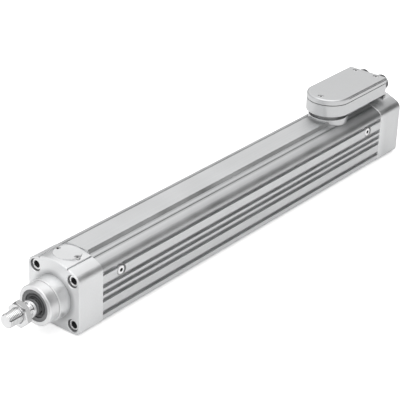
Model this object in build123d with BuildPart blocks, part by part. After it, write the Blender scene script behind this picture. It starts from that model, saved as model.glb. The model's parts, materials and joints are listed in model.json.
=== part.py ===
from build123d import *
import os
from math import atan2, degrees, sqrt

# Electric cylinder with a tubular linear motor, in millimetres.
# X runs forward along the piston rod, Y to the left as seen from behind, and Z up.
# The origin is on the rod axis, at the front cap's mounting face.

# Lengths along the rod axis
front_cap_length = 22.7
barrel_length = 328.4
rear_cap_length = 28.2
stroke = 200.0

# Outer section of the housing, seen along the rod
half_width = 22.5
half_depth = 22.5
crown_radius = 41.0
crown_rise = 3.6
top_corner_radius = 6.0
bottom_corner_radius = 4.5
cap_edge_chamfer = 0.5
cap_joint_chamfer = 0.3
profile_inset = 0.3
raised_flat_rise = 0.9
raised_flat_half = 8.5
raised_flat_foot = 10.0
shoulder_line_place = 13.7
shoulder_line_width = 0.5
shoulder_line_depth = 0.4

# Cooling grooves along both flanks of the barrel
groove_width = 3.4
groove_depth = 2.2
groove_pitch = 5.2
outer_groove_height = 14.6

# Bore, sensor channel and cable way inside the barrel
bore_radius = 18.0
channel_half = 6.4
channel_floor_wall = 2.4
channel_cover = 2.6
cable_hole_radius = 5.0

# Flange screws at the corners of both caps
bolt_pitch = 32.5
screw_head_radius = 4.1
screw_head_length = 8.5
screw_head_recess = 1.4
screw_shank_radius = 3.0
screw_grip_in_barrel = 14.0
screw_thread_bore = 2.5
screw_thread_depth = 7.0
head_clearance = 0.2
shank_clearance = 0.2
tap_clearance = 0.05
tap_runout = 3.0
tap_end_gap = 0.6
thread_clearance = 0.05
mouth_chamfer = 0.5
screw_head_chamfer = 0.5

# Register that centres each cap in the barrel, with its sealing ring
register_length = 6.0
register_clearance = 0.05
ring_section = 1.6
ring_groove_width = 2.2
ring_groove_place = 2.0
ring_squeeze_clearance = 0.04

# Collars and the seal carrier on the nose
spigot_radius = 15.0
spigot_length = 9.4
spigot_chamfer = 0.4
rear_ring_length = 4.0
rear_ring_seat = 2.0
rear_ring_seat_radius = 14.0
rear_ring_bore = 10.5
carrier_radius = 14.2
carrier_length = 8.0
carrier_chamfer = 0.6
carrier_plug_radius = 11.5
carrier_plug_length = 6.0
carrier_bore_radius = 6.9
wiper_radius = 11.15
wiper_depth = 5.0
wiper_recess = 0.4
wiper_lip_reach = 2.2
seat_clearance = 0.05

# Rod, its guide bush and its thread
rod_radius = 6.0
rod_running_clearance = 0.04
bush_wall = 1.9
bush_end_gap = 0.2
shoulder_place = 24.2
rod_thread_radius = 5.0
rod_thread_length = 19.1
thread_pitch_radius = 4.6
rod_tip_chamfer = 0.8
rod_shoulder_chamfer = 0.5
nut_flats = 16.0
nut_thickness = 5.0
nut_gap = 3.8
nut_turn = 45.0
nut_chamfer = 1.3
nut_chamfer_length = 0.8

# Round cover on top of the front cap and the slots beside it
cover_place = 13.2
cover_radius = 9.4
cover_thickness = 2.5
cover_proud = 0.2
cover_screw_offset = 8.6
cover_screw_head = 1.9
cover_screw_shank = 1.25
cover_screw_rise = 2.2
cover_screw_length = 7.0
cap_slot_place = 12.4
cap_slot_width = 1.2
cap_slot_depth = 1.2

# Linear motor: stator in the barrel, magnet slider on the rod
liner_radius = 12.8
liner_wall = 0.5
back_iron_wall = 1.25
stator_gap = 0.1
stator_end_gap = 0.2
stator_ring_length = 17.0
coil_count = 12
coil_spacing = 1.2
buffer_thickness = 4.0
buffer_radius = 12.0
buffer_rod_gap = 1.0
stop_gap = 0.4
guide_disc_length = 8.0
guide_disc_radius = 12.4
guide_band_width = 4.0
guide_band_wall = 0.9
band_running_clearance = 0.05
band_side_gap = 0.05
spindle_radius = 4.5
spindle_end_gap = 0.3
magnet_count = 8
pole_thickness = 1.6
sleeve_wall = 0.45
sleeve_outer_radius = 12.2
slider_nut_flats = 13.0
slider_nut_thickness = 4.5
slider_nut_recess_radius = 8.0
slider_nut_recess_depth = 5.0

# Screws through the flanks that hold the stator
stator_screw_inset = 18.0
stator_screw_height = 10.0
stator_screw_head = 3.1
stator_screw_head_height = 1.9
stator_screw_shank = 1.5
stator_screw_depth = 9.5
stator_socket_flats = 2.5
stator_socket_depth = 1.1
spot_face_radius = 4.2

# Sensor board in the channel over the bore
board_thickness = 1.6
board_end_gap = 18.0
board_side_gap = 0.4
board_cable_gap = 3.0
chip_count = 10
chip_length = 4.0
chip_width = 5.0
chip_height = 1.0

# Terminal box on its round neck, over the rear of the barrel
neck_place = 43.1
box_half_width = 17.5
box_rear_reach = 55.3
box_base_depth = 9.0
box_lid_depth = 4.4
box_corner_radius = 1.5
box_wall = 1.8
box_floor_wall = 1.6
box_rear_wall = 2.8
lid_wall = 1.6
lid_edge_radius = 1.4
gasket_thickness = 0.6
gasket_inset = 0.45
bowl_rim_rise = 1.0
bowl_depth = 1.0
bowl_radius = 14.8
neck_radius = 12.4
neck_gap = 2.8
neck_foot_radius = 15.3
neck_foot_rise = 1.2
foot_cut_depth = 6.1
neck_profile_gap = 0.1
neck_screw_offset = 9.6
neck_screw_head = 2.75
neck_screw_head_height = 2.0
neck_screw_shank = 1.5
neck_screw_grip = 6.0
shelf_clearance = 0.3
shelf_length = 5.4
shelf_half_width = 17.3
shelf_thickness = 2.6
gusset_thickness = 2.2
gusset_height = 3.4

# Lid screws, terminal board and its blocks
front_lid_screw_inset = 5.5
rear_lid_screw_inset = 4.6
rear_lid_screw_side = 9.4
lid_post_radius = 2.6
lid_post_web = 2.4
lid_screw_head = 2.1
lid_screw_head_height = 1.3
lid_screw_sink = 0.3
lid_screw_shank = 1.1
lid_screw_grip = 4.1
board_post_height = 3.8
terminal_board_thickness = 1.4
terminal_board_length = 34.0
board_wall_gap = 2.7
terminal_board_gap = 8.0
board_post_radius = 1.9
board_post_inset = 2.6
board_screw_head = 1.6
board_screw_head_height = 1.0
board_screw_shank = 0.8
board_screw_length = 4.0
terminal_block_length = 12.0
terminal_block_width = 8.0
terminal_block_height = 3.6
terminal_block_offset = 6.5

# Round connectors at the box's rear
connector_side_gap = 9.3
connector_rise = 5.2
connector_body_radius = 3.2
connector_flange_radius = 6.0
connector_flange_thickness = 1.4
connector_sleeve_radius = 5.3
connector_length = 8.4
connector_bore_radius = 4.2
connector_floor = 1.6
connector_wire_radius = 2.4
connector_ring_radius = 6.5
connector_ring_length = 5.6
connector_ring_clearance = 0.1
connector_ring_gap = 0.5
knurl_count = 16
knurl_depth = 0.5
knurl_width = 1.1
insert_recess = 1.2
insert_hole_depth = 3.0
contact_radius = 0.55
contact_circle = 2.3
contact_count = 6

# Places worked out from the sizes above
joint_front = -front_cap_length
joint_rear = joint_front - barrel_length
rear_face = joint_rear - rear_cap_length
crown_height = half_depth + crown_rise
crown_centre = crown_height - crown_radius
raised_flat_height = crown_height + raised_flat_rise
channel_floor = bore_radius + channel_floor_wall
channel_height = raised_flat_height - channel_cover - channel_floor
cover_seat_height = crown_height + cover_proud - cover_thickness
barrel_half_width = half_width - profile_inset
carrier_front = spigot_length + carrier_length
seat_radius = rod_radius + rod_running_clearance + bush_wall
register_front = joint_front - register_length
register_rear = joint_rear + register_length
neck_x = joint_rear + neck_place
box_rear = neck_x - box_rear_reach
neck_foot_height = raised_flat_height + neck_foot_rise
foot_cut_height = crown_height - foot_cut_depth
bowl_height = neck_foot_height + neck_gap
box_floor_height = bowl_height + bowl_depth
bowl_rim_height = box_floor_height + bowl_rim_rise
shelf_height = raised_flat_height + shelf_clearance
box_seam_height = box_floor_height + box_base_depth
box_top_height = box_seam_height + gasket_thickness + box_lid_depth
terminal_board_height = box_floor_height + box_floor_wall + board_post_height
terminal_board_width = 2 * (box_half_width - box_wall - board_wall_gap)
connector_offset = box_half_width - connector_side_gap
connector_height = box_floor_height + connector_rise
screw_head_seat = screw_head_recess + screw_head_length
slider_rear = register_rear + buffer_thickness + stop_gap
slider_front = register_front - buffer_thickness - stop_gap - stroke
tap_depth = screw_grip_in_barrel + tap_runout

os.makedirs("parts", exist_ok=True)


def save(piece, name):
    """Label a finished piece and write it to its own file."""
    piece.label = name
    export_step(piece, f"parts/{name}.step")


def section_plane(place):
    """Plane across the rod axis, drawn with Y to the right and Z up."""
    return Plane.YZ.offset(place)


def flank_plane(side, distance):
    """Plane along a flank, drawn with X to the right and Z up."""
    return Plane.XZ.offset(-side * distance)


def crown_at(sideways, inset):
    """Height of the crowned top over the axis, this far from the middle."""
    return crown_centre + sqrt((crown_radius - inset) ** 2 - sideways**2)


def housing_outline(plane, inset):
    """Outer section of the housing: flat flanks, crowned top, round corners."""
    side = half_width - inset
    bottom = inset - half_depth
    crown = crown_radius - inset
    top_radius = top_corner_radius - inset
    low_radius = bottom_corner_radius - inset
    corner_y = half_width - top_corner_radius
    reach = crown_radius - top_corner_radius
    corner_z = crown_centre + sqrt(reach**2 - corner_y**2)
    lean = degrees(atan2(corner_z - crown_centre, corner_y))
    with BuildSketch(plane) as outline:
        with BuildLine():
            CenterArc((corner_y, corner_z), top_radius, 0, lean)
            CenterArc((0, crown_centre), crown, lean, 180 - 2 * lean)
            CenterArc((-corner_y, corner_z), top_radius, 180 - lean, lean)
            Line((-side, corner_z), (-side, bottom + low_radius))
            CenterArc((low_radius - side, bottom + low_radius), low_radius, 180, 90)
            Line((low_radius - side, bottom), (side - low_radius, bottom))
            CenterArc((side - low_radius, bottom + low_radius), low_radius, 270, 90)
            Line((side, bottom + low_radius), (side, corner_z))
        make_face()
    return outline.sketch


def disc(plane, radius):
    """Round face on a plane."""
    with BuildSketch(plane) as face:
        Circle(radius)
    return face.sketch


def four_discs(plane, radius):
    """Four round faces on the square pattern of the flange screws."""
    with BuildSketch(plane) as faces:
        with GridLocations(bolt_pitch, bolt_pitch, 2, 2):
            Circle(radius)
    return faces.sketch


def ring(front, length, outer, inner):
    """Plain ring round the rod axis, from its front end backwards."""
    with BuildPart() as sleeve:
        with BuildSketch(section_plane(front)):
            Circle(outer)
            Circle(inner, mode=Mode.SUBTRACT)
        extrude(amount=-length)
    return sleeve.part


def turned(points):
    """Body turned about the rod axis from points of X and radius."""
    with BuildPart() as body:
        with BuildSketch(Plane.XZ):
            with BuildLine():
                Polyline(*points, close=True)
            make_face()
        revolve(axis=Axis.X)
    return body.part


# Barrel: extruded profile with a crowned top, a raised flat and grooved flanks
with BuildPart() as barrel_profile:
    extrude(housing_outline(section_plane(joint_front), profile_inset), amount=-barrel_length)
    foot_height = crown_at(raised_flat_foot, profile_inset)
    with BuildSketch(section_plane(joint_front)):
        with BuildLine():
            Polyline(
                (-raised_flat_foot, foot_height),
                (-raised_flat_half, raised_flat_height),
                (raised_flat_half, raised_flat_height),
                (raised_flat_foot, foot_height),
                close=True,
            )
        make_face()
    extrude(amount=-barrel_length)
    line_height = crown_at(shoulder_line_place, profile_inset)
    groove_heights = (
        -outer_groove_height,
        -groove_pitch,
        0,
        groove_pitch,
        outer_groove_height,
    )
    with BuildSketch(section_plane(joint_front)):
        Circle(bore_radius)
        with Locations((0, channel_floor + channel_height / 2)):
            Rectangle(2 * channel_half, channel_height)
        for side in (-1, 1):
            for height in groove_heights:
                with Locations((side * barrel_half_width, height)):
                    Rectangle(2 * groove_depth, groove_width)
            with Locations((side * shoulder_line_place, line_height)):
                Rectangle(shoulder_line_width, 2 * shoulder_line_depth)
    extrude(amount=-barrel_length, mode=Mode.SUBTRACT)
    tap_radius = screw_shank_radius + tap_clearance
    extrude(four_discs(section_plane(joint_front), tap_radius), amount=-tap_depth, mode=Mode.SUBTRACT)
    extrude(four_discs(section_plane(joint_rear), tap_radius), amount=tap_depth, mode=Mode.SUBTRACT)
    stator_screw_places = (joint_front - stator_screw_inset, joint_rear + stator_screw_inset)
    for side in (-1, 1):
        with BuildSketch(flank_plane(side, barrel_half_width)):
            with Locations(*[(place, stator_screw_height) for place in stator_screw_places]):
                Circle(spot_face_radius)
        extrude(amount=side * groove_depth, mode=Mode.SUBTRACT)
        with BuildSketch(flank_plane(side, barrel_half_width)):
            with Locations(*[(place, stator_screw_height) for place in stator_screw_places]):
                Circle(stator_screw_shank + tap_clearance)
        extrude(amount=side * stator_screw_depth, mode=Mode.SUBTRACT)
    with BuildSketch(Plane.XY.offset(raised_flat_height)):
        with Locations((neck_x, 0)):
            Circle(cable_hole_radius)
    extrude(amount=channel_floor - raised_flat_height - cable_hole_radius, mode=Mode.SUBTRACT)
    with BuildSketch(Plane.XY.offset(raised_flat_height)):
        with Locations((neck_x, -neck_screw_offset), (neck_x, neck_screw_offset)):
            Circle(neck_screw_shank + tap_clearance)
    neck_tap_floor = foot_height - neck_screw_grip - tap_runout / 2
    extrude(amount=neck_tap_floor - raised_flat_height, mode=Mode.SUBTRACT)
save(barrel_profile.part, "barrel_profile")


# Front cap: collar, register, screw seats, cover seat and top slots
front_register_radius = bore_radius - register_clearance
groove_bottom = bore_radius - ring_section - register_clearance
with BuildPart() as front_cap:
    extrude(housing_outline(section_plane(0), 0), amount=-front_cap_length)
    chamfer(front_cap.faces().sort_by(Axis.X)[-1].edges(), length=cap_edge_chamfer)
    chamfer(front_cap.faces().sort_by(Axis.X)[0].edges(), length=cap_joint_chamfer)
    extrude(disc(section_plane(0), spigot_radius), amount=spigot_length)
    chamfer(front_cap.faces().sort_by(Axis.X)[-1].edges(), length=spigot_chamfer)
    extrude(disc(section_plane(joint_front), front_register_radius), amount=-register_length)
    extrude(
        disc(section_plane(register_front), seat_radius),
        amount=spigot_length - register_front,
        mode=Mode.SUBTRACT,
    )
    extrude(
        disc(section_plane(spigot_length), carrier_plug_radius + seat_clearance),
        amount=-carrier_plug_length,
        mode=Mode.SUBTRACT,
    )
    add(
        ring(joint_front - ring_groove_place, ring_groove_width, bore_radius, groove_bottom),
        mode=Mode.SUBTRACT,
    )
    extrude(
        four_discs(section_plane(0), screw_head_radius + head_clearance),
        amount=-screw_head_seat,
        mode=Mode.SUBTRACT,
    )
    extrude(
        four_discs(section_plane(0), screw_shank_radius + shank_clearance),
        amount=-front_cap_length,
        mode=Mode.SUBTRACT,
    )
    mouths = front_cap.edges().filter_by(GeomType.CIRCLE).filter_by_position(Axis.X, 0, 0)
    chamfer(
        mouths.filter_by(lambda edge: abs(edge.radius - screw_head_radius - head_clearance) < 0.01),
        length=mouth_chamfer,
    )
    with BuildSketch(Plane.XY.offset(cover_seat_height)):
        with Locations((-cover_place, 0)):
            Circle(cover_radius + seat_clearance)
        with Locations((-cover_place, -cover_screw_offset), (-cover_place, cover_screw_offset)):
            Circle(cover_screw_head + seat_clearance)
    extrude(amount=crown_height, mode=Mode.SUBTRACT)
    with BuildSketch(Plane.XY.offset(cover_seat_height)):
        with Locations((-cover_place, -cover_screw_offset), (-cover_place, cover_screw_offset)):
            Circle(cover_screw_shank + tap_clearance)
    extrude(amount=-cover_screw_length, mode=Mode.SUBTRACT)
    slot_height = crown_at(cap_slot_place, 0)
    with BuildSketch(section_plane(0)):
        with Locations((-cap_slot_place, slot_height), (cap_slot_place, slot_height)):
            Rectangle(cap_slot_width, 2 * cap_slot_depth)
    extrude(amount=-front_cap_length, mode=Mode.SUBTRACT)
save(front_cap.part, "front_cap")

# Rear cap: the same section, closed, with a recess for the centring ring behind
with BuildPart() as rear_cap:
    extrude(housing_outline(section_plane(joint_rear), 0), amount=-rear_cap_length)
    chamfer(rear_cap.faces().sort_by(Axis.X)[-1].edges(), length=cap_joint_chamfer)
    chamfer(rear_cap.faces().sort_by(Axis.X)[0].edges(), length=cap_edge_chamfer)
    extrude(
        disc(section_plane(rear_face), rear_ring_seat_radius + seat_clearance),
        amount=rear_ring_seat,
        mode=Mode.SUBTRACT,
    )
    extrude(disc(section_plane(joint_rear), front_register_radius), amount=register_length)
    add(
        ring(
            joint_rear + ring_groove_place + ring_groove_width,
            ring_groove_width,
            bore_radius,
            groove_bottom,
        ),
        mode=Mode.SUBTRACT,
    )
    extrude(
        four_discs(section_plane(rear_face), screw_head_radius + head_clearance),
        amount=screw_head_seat,
        mode=Mode.SUBTRACT,
    )
    extrude(
        four_discs(section_plane(rear_face), screw_shank_radius + shank_clearance),
        amount=rear_cap_length,
        mode=Mode.SUBTRACT,
    )
save(rear_cap.part, "rear_cap")

# Ring that centres a rear bracket, pressed into the rear cap
with BuildPart() as rear_centring_ring:
    add(ring(rear_face + rear_ring_seat, rear_ring_seat, rear_ring_seat_radius, rear_ring_bore))
    add(ring(rear_face, rear_ring_length, spigot_radius, rear_ring_bore))
save(rear_centring_ring.part, "rear_centring_ring")


def flange_screws(face, inward, joint):
    """Four socket screws whose heads carry a mounting thread, seen from their cap's face."""
    head_front = face + inward * screw_head_recess
    head_rear = head_front + inward * screw_head_length
    grip = abs(joint - head_rear) + screw_grip_in_barrel
    with BuildPart() as screws:
        heads = four_discs(section_plane(head_front), screw_head_radius)
        extrude(heads, amount=inward * screw_head_length)
        rims = screws.edges().filter_by_position(Axis.X, head_front, head_front)
        chamfer(rims, length=screw_head_chamfer)
        extrude(four_discs(section_plane(head_rear), screw_shank_radius), amount=inward * grip)
        extrude(
            four_discs(section_plane(head_front), screw_thread_bore),
            amount=inward * screw_thread_depth,
            mode=Mode.SUBTRACT,
        )
    return screws.part


# Flange screws of both caps
save(flange_screws(0, -1, joint_front), "front_cap_screws")
save(flange_screws(rear_face, 1, joint_rear), "rear_cap_screws")

# Sealing rings in the grooves of both registers
ring_outer = bore_radius - ring_squeeze_clearance
ring_inner = groove_bottom + ring_squeeze_clearance
ring_side_gap = (ring_groove_width - ring_section) / 2
front_ring_front = joint_front - ring_groove_place - ring_side_gap
rear_ring_front = joint_rear + ring_groove_place + ring_groove_width - ring_side_gap
save(ring(front_ring_front, ring_section, ring_outer, ring_inner), "front_cap_seal")
save(ring(rear_ring_front, ring_section, ring_outer, ring_inner), "rear_cap_seal")

# Seal carrier: the thinner nose that plugs into the collar
wiper_rear = carrier_front - wiper_recess - wiper_depth
with BuildPart() as seal_carrier:
    extrude(disc(section_plane(spigot_length), carrier_radius), amount=carrier_length)
    extrude(disc(section_plane(spigot_length), carrier_plug_radius), amount=-carrier_plug_length)
    nose_edge = seal_carrier.faces().sort_by(Axis.X)[-1].edges()
    chamfer(nose_edge, length=carrier_chamfer)
    extrude(
        disc(section_plane(carrier_front), carrier_bore_radius),
        amount=-carrier_length - carrier_plug_length,
        mode=Mode.SUBTRACT,
    )
    extrude(
        disc(section_plane(carrier_front), wiper_radius + seat_clearance),
        amount=-wiper_recess - wiper_depth,
        mode=Mode.SUBTRACT,
    )
save(seal_carrier.part, "seal_carrier")

# Rod wiper: ring with one lip that runs on the rod
wiper_front = wiper_rear + wiper_depth
wiper_bore = rod_radius + rod_running_clearance
wiper_points = (
    (wiper_rear, wiper_bore + wiper_lip_reach / 2),
    (wiper_rear, wiper_radius),
    (wiper_front, wiper_radius),
    (wiper_front, wiper_bore + 2.7),
    (wiper_front - 1.2, wiper_bore + 2.4),
    (wiper_front - 1.2, wiper_bore + 1.6),
    (wiper_front, wiper_bore + 1.2),
    (wiper_front, wiper_bore + 0.6),
    (wiper_front - 0.6, wiper_bore),
    (wiper_front - wiper_lip_reach, wiper_bore),
    (wiper_front - wiper_lip_reach - 0.8, wiper_bore + wiper_lip_reach / 2),
)
save(turned(wiper_points), "rod_wiper")

# Rod guide bush pressed into the front cap
bush_front = spigot_length - carrier_plug_length - bush_end_gap
bush_rear = register_front + bush_end_gap
bush_outer = seat_radius - seat_clearance
save(ring(bush_front, bush_front - bush_rear, bush_outer, wiper_bore), "rod_guide_bush")

# Round cover on the front cap, notched by its two screws
with BuildPart() as cap_cover:
    with BuildSketch(Plane.XY.offset(cover_seat_height)):
        with Locations((-cover_place, 0)):
            Circle(cover_radius)
        with Locations((-cover_place, -cover_screw_offset), (-cover_place, cover_screw_offset)):
            Circle(cover_screw_head + seat_clearance, mode=Mode.SUBTRACT)
    extrude(amount=cover_thickness)
save(cap_cover.part, "cap_cover")

with BuildPart() as cap_cover_screws:
    with BuildSketch(Plane.XY.offset(cover_seat_height)):
        with Locations((-cover_place, -cover_screw_offset), (-cover_place, cover_screw_offset)):
            Circle(cover_screw_head)
    extrude(amount=cover_screw_rise)
    with BuildSketch(Plane.XY.offset(cover_seat_height)):
        with Locations((-cover_place, -cover_screw_offset), (-cover_place, cover_screw_offset)):
            Circle(cover_screw_shank)
    extrude(amount=1 - cover_screw_length)
save(cap_cover_screws.part, "cap_cover_screws")

# Stator: liner, coils, back iron and the two rings that the side screws hold
stator_front = register_front - stator_end_gap
stator_rear = register_rear + stator_end_gap
stator_length = stator_front - stator_rear
liner_outer = liner_radius + liner_wall
back_iron_outer = bore_radius - stator_gap
back_iron_inner = back_iron_outer - back_iron_wall
save(ring(stator_front, stator_length, liner_outer, liner_radius), "stator_liner")

coil_room_front = stator_front - stator_ring_length
coil_room = stator_length - 2 * stator_ring_length
save(ring(coil_room_front, coil_room, back_iron_outer, back_iron_inner), "back_iron_tube")

coil_length = (coil_room - (coil_count + 1) * coil_spacing) / coil_count
with BuildPart() as stator_coils:
    for number in range(coil_count):
        coil_front = coil_room_front - coil_spacing - number * (coil_length + coil_spacing)
        add(ring(coil_front, coil_length, back_iron_inner - stator_gap, liner_outer + stator_gap))
save(stator_coils.part, "stator_coils")


def stator_ring(front, screw_place):
    """End ring of the stator with two tapped holes for its side screws."""
    with BuildPart() as end_ring:
        add(ring(front, stator_ring_length, back_iron_outer, liner_outer + stator_gap))
        for side in (-1, 1):
            with BuildSketch(flank_plane(side, barrel_half_width)):
                with Locations((screw_place, stator_screw_height)):
                    Circle(stator_screw_shank + tap_clearance)
            extrude(amount=side * stator_screw_depth, mode=Mode.SUBTRACT)
    return end_ring.part


save(stator_ring(stator_front, stator_screw_places[0]), "front_stator_ring")
save(stator_ring(stator_rear + stator_ring_length, stator_screw_places[1]), "rear_stator_ring")

# Socket screws through both flanks into the stator rings
screw_seat = barrel_half_width - groove_depth
stator_screw_reach = stator_screw_depth - groove_depth - tap_end_gap
with BuildPart() as stator_screws:
    for side in (-1, 1):
        for place in stator_screw_places:
            with BuildSketch(flank_plane(side, screw_seat)):
                with Locations((place, stator_screw_height)):
                    Circle(stator_screw_head)
            extrude(amount=-side * stator_screw_head_height)
            with BuildSketch(flank_plane(side, screw_seat)):
                with Locations((place, stator_screw_height)):
                    Circle(stator_screw_shank)
            extrude(amount=side * stator_screw_reach)
            with BuildSketch(flank_plane(side, screw_seat + stator_screw_head_height)):
                with Locations((place, stator_screw_height)):
                    RegularPolygon(stator_socket_flats / 2, 6, major_radius=False)
            extrude(amount=side * stator_socket_depth, mode=Mode.SUBTRACT)
save(stator_screws.part, "stator_screws")

# Buffers that stop the slider at both ends
rod_passage = rod_radius + buffer_rod_gap
save(ring(register_front, buffer_thickness, buffer_radius, rod_passage), "front_buffer")
with BuildPart() as rear_buffer:
    extrude(disc(section_plane(register_rear), buffer_radius), amount=buffer_thickness)
save(rear_buffer.part, "rear_buffer")

# Sensor board in its channel, with its magnetic sensor chips
board_front = joint_front - board_end_gap
board_rear = neck_x + cable_hole_radius + board_cable_gap
board_length = board_front - board_rear
board_half = channel_half - board_side_gap
with BuildPart() as sensor_board:
    with BuildSketch(Plane.XY.offset(channel_floor)):
        with Locations(((board_front + board_rear) / 2, 0)):
            Rectangle(board_length, 2 * board_half)
    extrude(amount=board_thickness)
save(sensor_board.part, "sensor_board")

chip_pitch = board_length / chip_count
with BuildPart() as sensor_chips:
    with BuildSketch(Plane.XY.offset(channel_floor + board_thickness)):
        with Locations(((board_front + board_rear) / 2, 0)):
            with GridLocations(chip_pitch, 1, chip_count, 1):
                Rectangle(chip_length, chip_width)
    extrude(amount=chip_height)
save(sensor_chips.part, "sensor_chips")


def box_outline(height, inset, rear_inset):
    """Plan of the terminal box: round front about the neck, straight sides and rear."""
    half = box_half_width - inset
    rear = box_rear + rear_inset
    with BuildSketch(Plane.XY.offset(height)) as plan:
        with Locations((neck_x, 0)):
            Circle(half)
        with Locations(((neck_x + rear) / 2, 0)):
            Rectangle(neck_x - rear, 2 * half)
        fillet(plan.vertices().group_by(Axis.X)[0], radius=box_corner_radius)
    return plan.sketch


def spots(height, places, radius):
    """Round faces of one size at several places of a level plane."""
    with BuildSketch(Plane.XY.offset(height)) as faces:
        with Locations(*places):
            Circle(radius)
    return faces.sketch


def lid_posts(height):
    """Plan of the three lid screw posts, the front one joined to the wall by a web."""
    with BuildSketch(Plane.XY.offset(height)) as posts:
        with Locations(*lid_screw_places):
            Circle(lid_post_radius)
        web_length = front_lid_screw_inset - box_wall / 2
        with Locations((lid_screw_places[0][0] + web_length / 2, 0)):
            Rectangle(web_length, lid_post_web)
    return posts.sketch


lid_screw_places = (
    (neck_x + box_half_width - front_lid_screw_inset, 0),
    (box_rear + rear_lid_screw_inset, -rear_lid_screw_side),
    (box_rear + rear_lid_screw_inset, rear_lid_screw_side),
)
connector_places = ((-connector_offset, connector_height), (connector_offset, connector_height))
neck_screw_places = ((neck_x, -neck_screw_offset), (neck_x, neck_screw_offset))
inner_floor = box_floor_height + box_floor_wall
lid_bottom = box_seam_height + gasket_thickness
board_front_edge = neck_x - terminal_board_gap
board_middle = board_front_edge - terminal_board_length / 2
board_screw_places = [
    (
        board_middle + along * (terminal_board_length / 2 - board_post_inset),
        across * (terminal_board_width / 2 - board_post_inset),
    )
    for along in (-1, 1)
    for across in (-1, 1)
]
board_post_hole = board_screw_length - terminal_board_thickness + tap_end_gap
lid_screw_seat = box_top_height - lid_screw_head_height - lid_screw_sink
lid_screw_end = box_seam_height - lid_screw_grip
lid_tap_floor = lid_screw_end - tap_end_gap

# Terminal box: bowl and foot of the neck, floor, walls, posts and rear shelf
with BuildPart() as terminal_box:
    extrude(box_outline(box_floor_height, 0, 0), amount=box_seam_height - box_floor_height)
    with BuildSketch(Plane.XZ):
        with BuildLine():
            Polyline(
                (neck_x, inner_floor),
                (neck_x + box_half_width, inner_floor),
                (neck_x + box_half_width, bowl_rim_height),
                (neck_x + bowl_radius, bowl_height),
                (neck_x + neck_radius, bowl_height),
                (neck_x + neck_radius, neck_foot_height),
                (neck_x + neck_foot_radius, neck_foot_height),
                (neck_x + neck_foot_radius, foot_cut_height),
                (neck_x, foot_cut_height),
                close=True,
            )
        make_face()
    revolve(axis=Axis((neck_x, 0, 0), (0, 0, 1)))
    extrude(
        box_outline(inner_floor, box_wall, box_rear_wall),
        amount=box_seam_height - inner_floor,
        mode=Mode.SUBTRACT,
    )
    extrude(lid_posts(inner_floor), amount=box_seam_height - inner_floor)
    extrude(
        spots(inner_floor, board_screw_places, board_post_radius),
        amount=terminal_board_height - inner_floor,
    )
    with BuildSketch(Plane.XZ.offset(-shelf_half_width)):
        with BuildLine():
            Polyline(
                (box_rear + box_rear_wall, box_floor_height),
                (box_rear + box_rear_wall, shelf_height),
                (box_rear - shelf_length, shelf_height),
                (box_rear - shelf_length, shelf_height + shelf_thickness),
                (box_rear, shelf_height + shelf_thickness + gusset_height),
                (box_rear + box_rear_wall, shelf_height + shelf_thickness + gusset_height),
                close=True,
            )
        make_face()
    extrude(amount=2 * shelf_half_width)
    with BuildSketch(Plane.XY.offset(shelf_height + shelf_thickness)):
        with Locations((box_rear - shelf_length / 2, 0)):
            Rectangle(shelf_length, 2 * (shelf_half_width - gusset_thickness))
    extrude(amount=box_seam_height - shelf_height - shelf_thickness, mode=Mode.SUBTRACT)
    with BuildSketch(section_plane(neck_x + box_half_width)):
        with BuildLine():
            slope_height = raised_flat_height - foot_height
            Polyline(
                (-raised_flat_foot - neck_profile_gap, foot_height),
                (-raised_flat_half - neck_profile_gap, foot_height + slope_height + neck_profile_gap),
                (raised_flat_half + neck_profile_gap, foot_height + slope_height + neck_profile_gap),
                (raised_flat_foot + neck_profile_gap, foot_height),
                close=True,
            )
        make_face()
    extrude(amount=-2 * box_half_width, mode=Mode.SUBTRACT)
    extrude(
        housing_outline(section_plane(neck_x + box_half_width), profile_inset - neck_profile_gap),
        amount=-2 * box_half_width,
        mode=Mode.SUBTRACT,
    )
    extrude(spots(inner_floor, ((neck_x, 0),), cable_hole_radius), amount=-inner_floor, mode=Mode.SUBTRACT)
    extrude(
        spots(inner_floor, neck_screw_places, neck_screw_shank + shank_clearance),
        amount=-inner_floor,
        mode=Mode.SUBTRACT,
    )
    extrude(
        spots(box_seam_height, lid_screw_places, lid_screw_shank + tap_clearance),
        amount=lid_tap_floor - box_seam_height,
        mode=Mode.SUBTRACT,
    )
    extrude(
        spots(terminal_board_height, board_screw_places, board_screw_shank + tap_clearance),
        amount=-board_post_hole,
        mode=Mode.SUBTRACT,
    )
    with BuildSketch(section_plane(box_rear)):
        with Locations(*connector_places):
            Circle(connector_body_radius + seat_clearance)
    extrude(amount=box_rear_wall, mode=Mode.SUBTRACT)
save(terminal_box.part, "terminal_box")

# Screws that hold the neck's foot to the barrel
with BuildPart() as neck_screws:
    extrude(spots(inner_floor, neck_screw_places, neck_screw_head), amount=neck_screw_head_height)
    extrude(
        spots(inner_floor, neck_screw_places, neck_screw_shank),
        amount=foot_height - neck_screw_grip - inner_floor,
    )
save(neck_screws.part, "neck_screws")

# Gasket with an eye round each lid screw
with BuildPart() as box_gasket:
    extrude(box_outline(box_seam_height, gasket_inset, gasket_inset), amount=gasket_thickness)
    extrude(
        box_outline(box_seam_height, box_wall, box_rear_wall),
        amount=gasket_thickness,
        mode=Mode.SUBTRACT,
    )
    extrude(lid_posts(box_seam_height), amount=gasket_thickness)
    extrude(
        spots(box_seam_height, lid_screw_places, lid_screw_shank + shank_clearance),
        amount=gasket_thickness,
        mode=Mode.SUBTRACT,
    )
save(box_gasket.part, "box_gasket")

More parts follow.
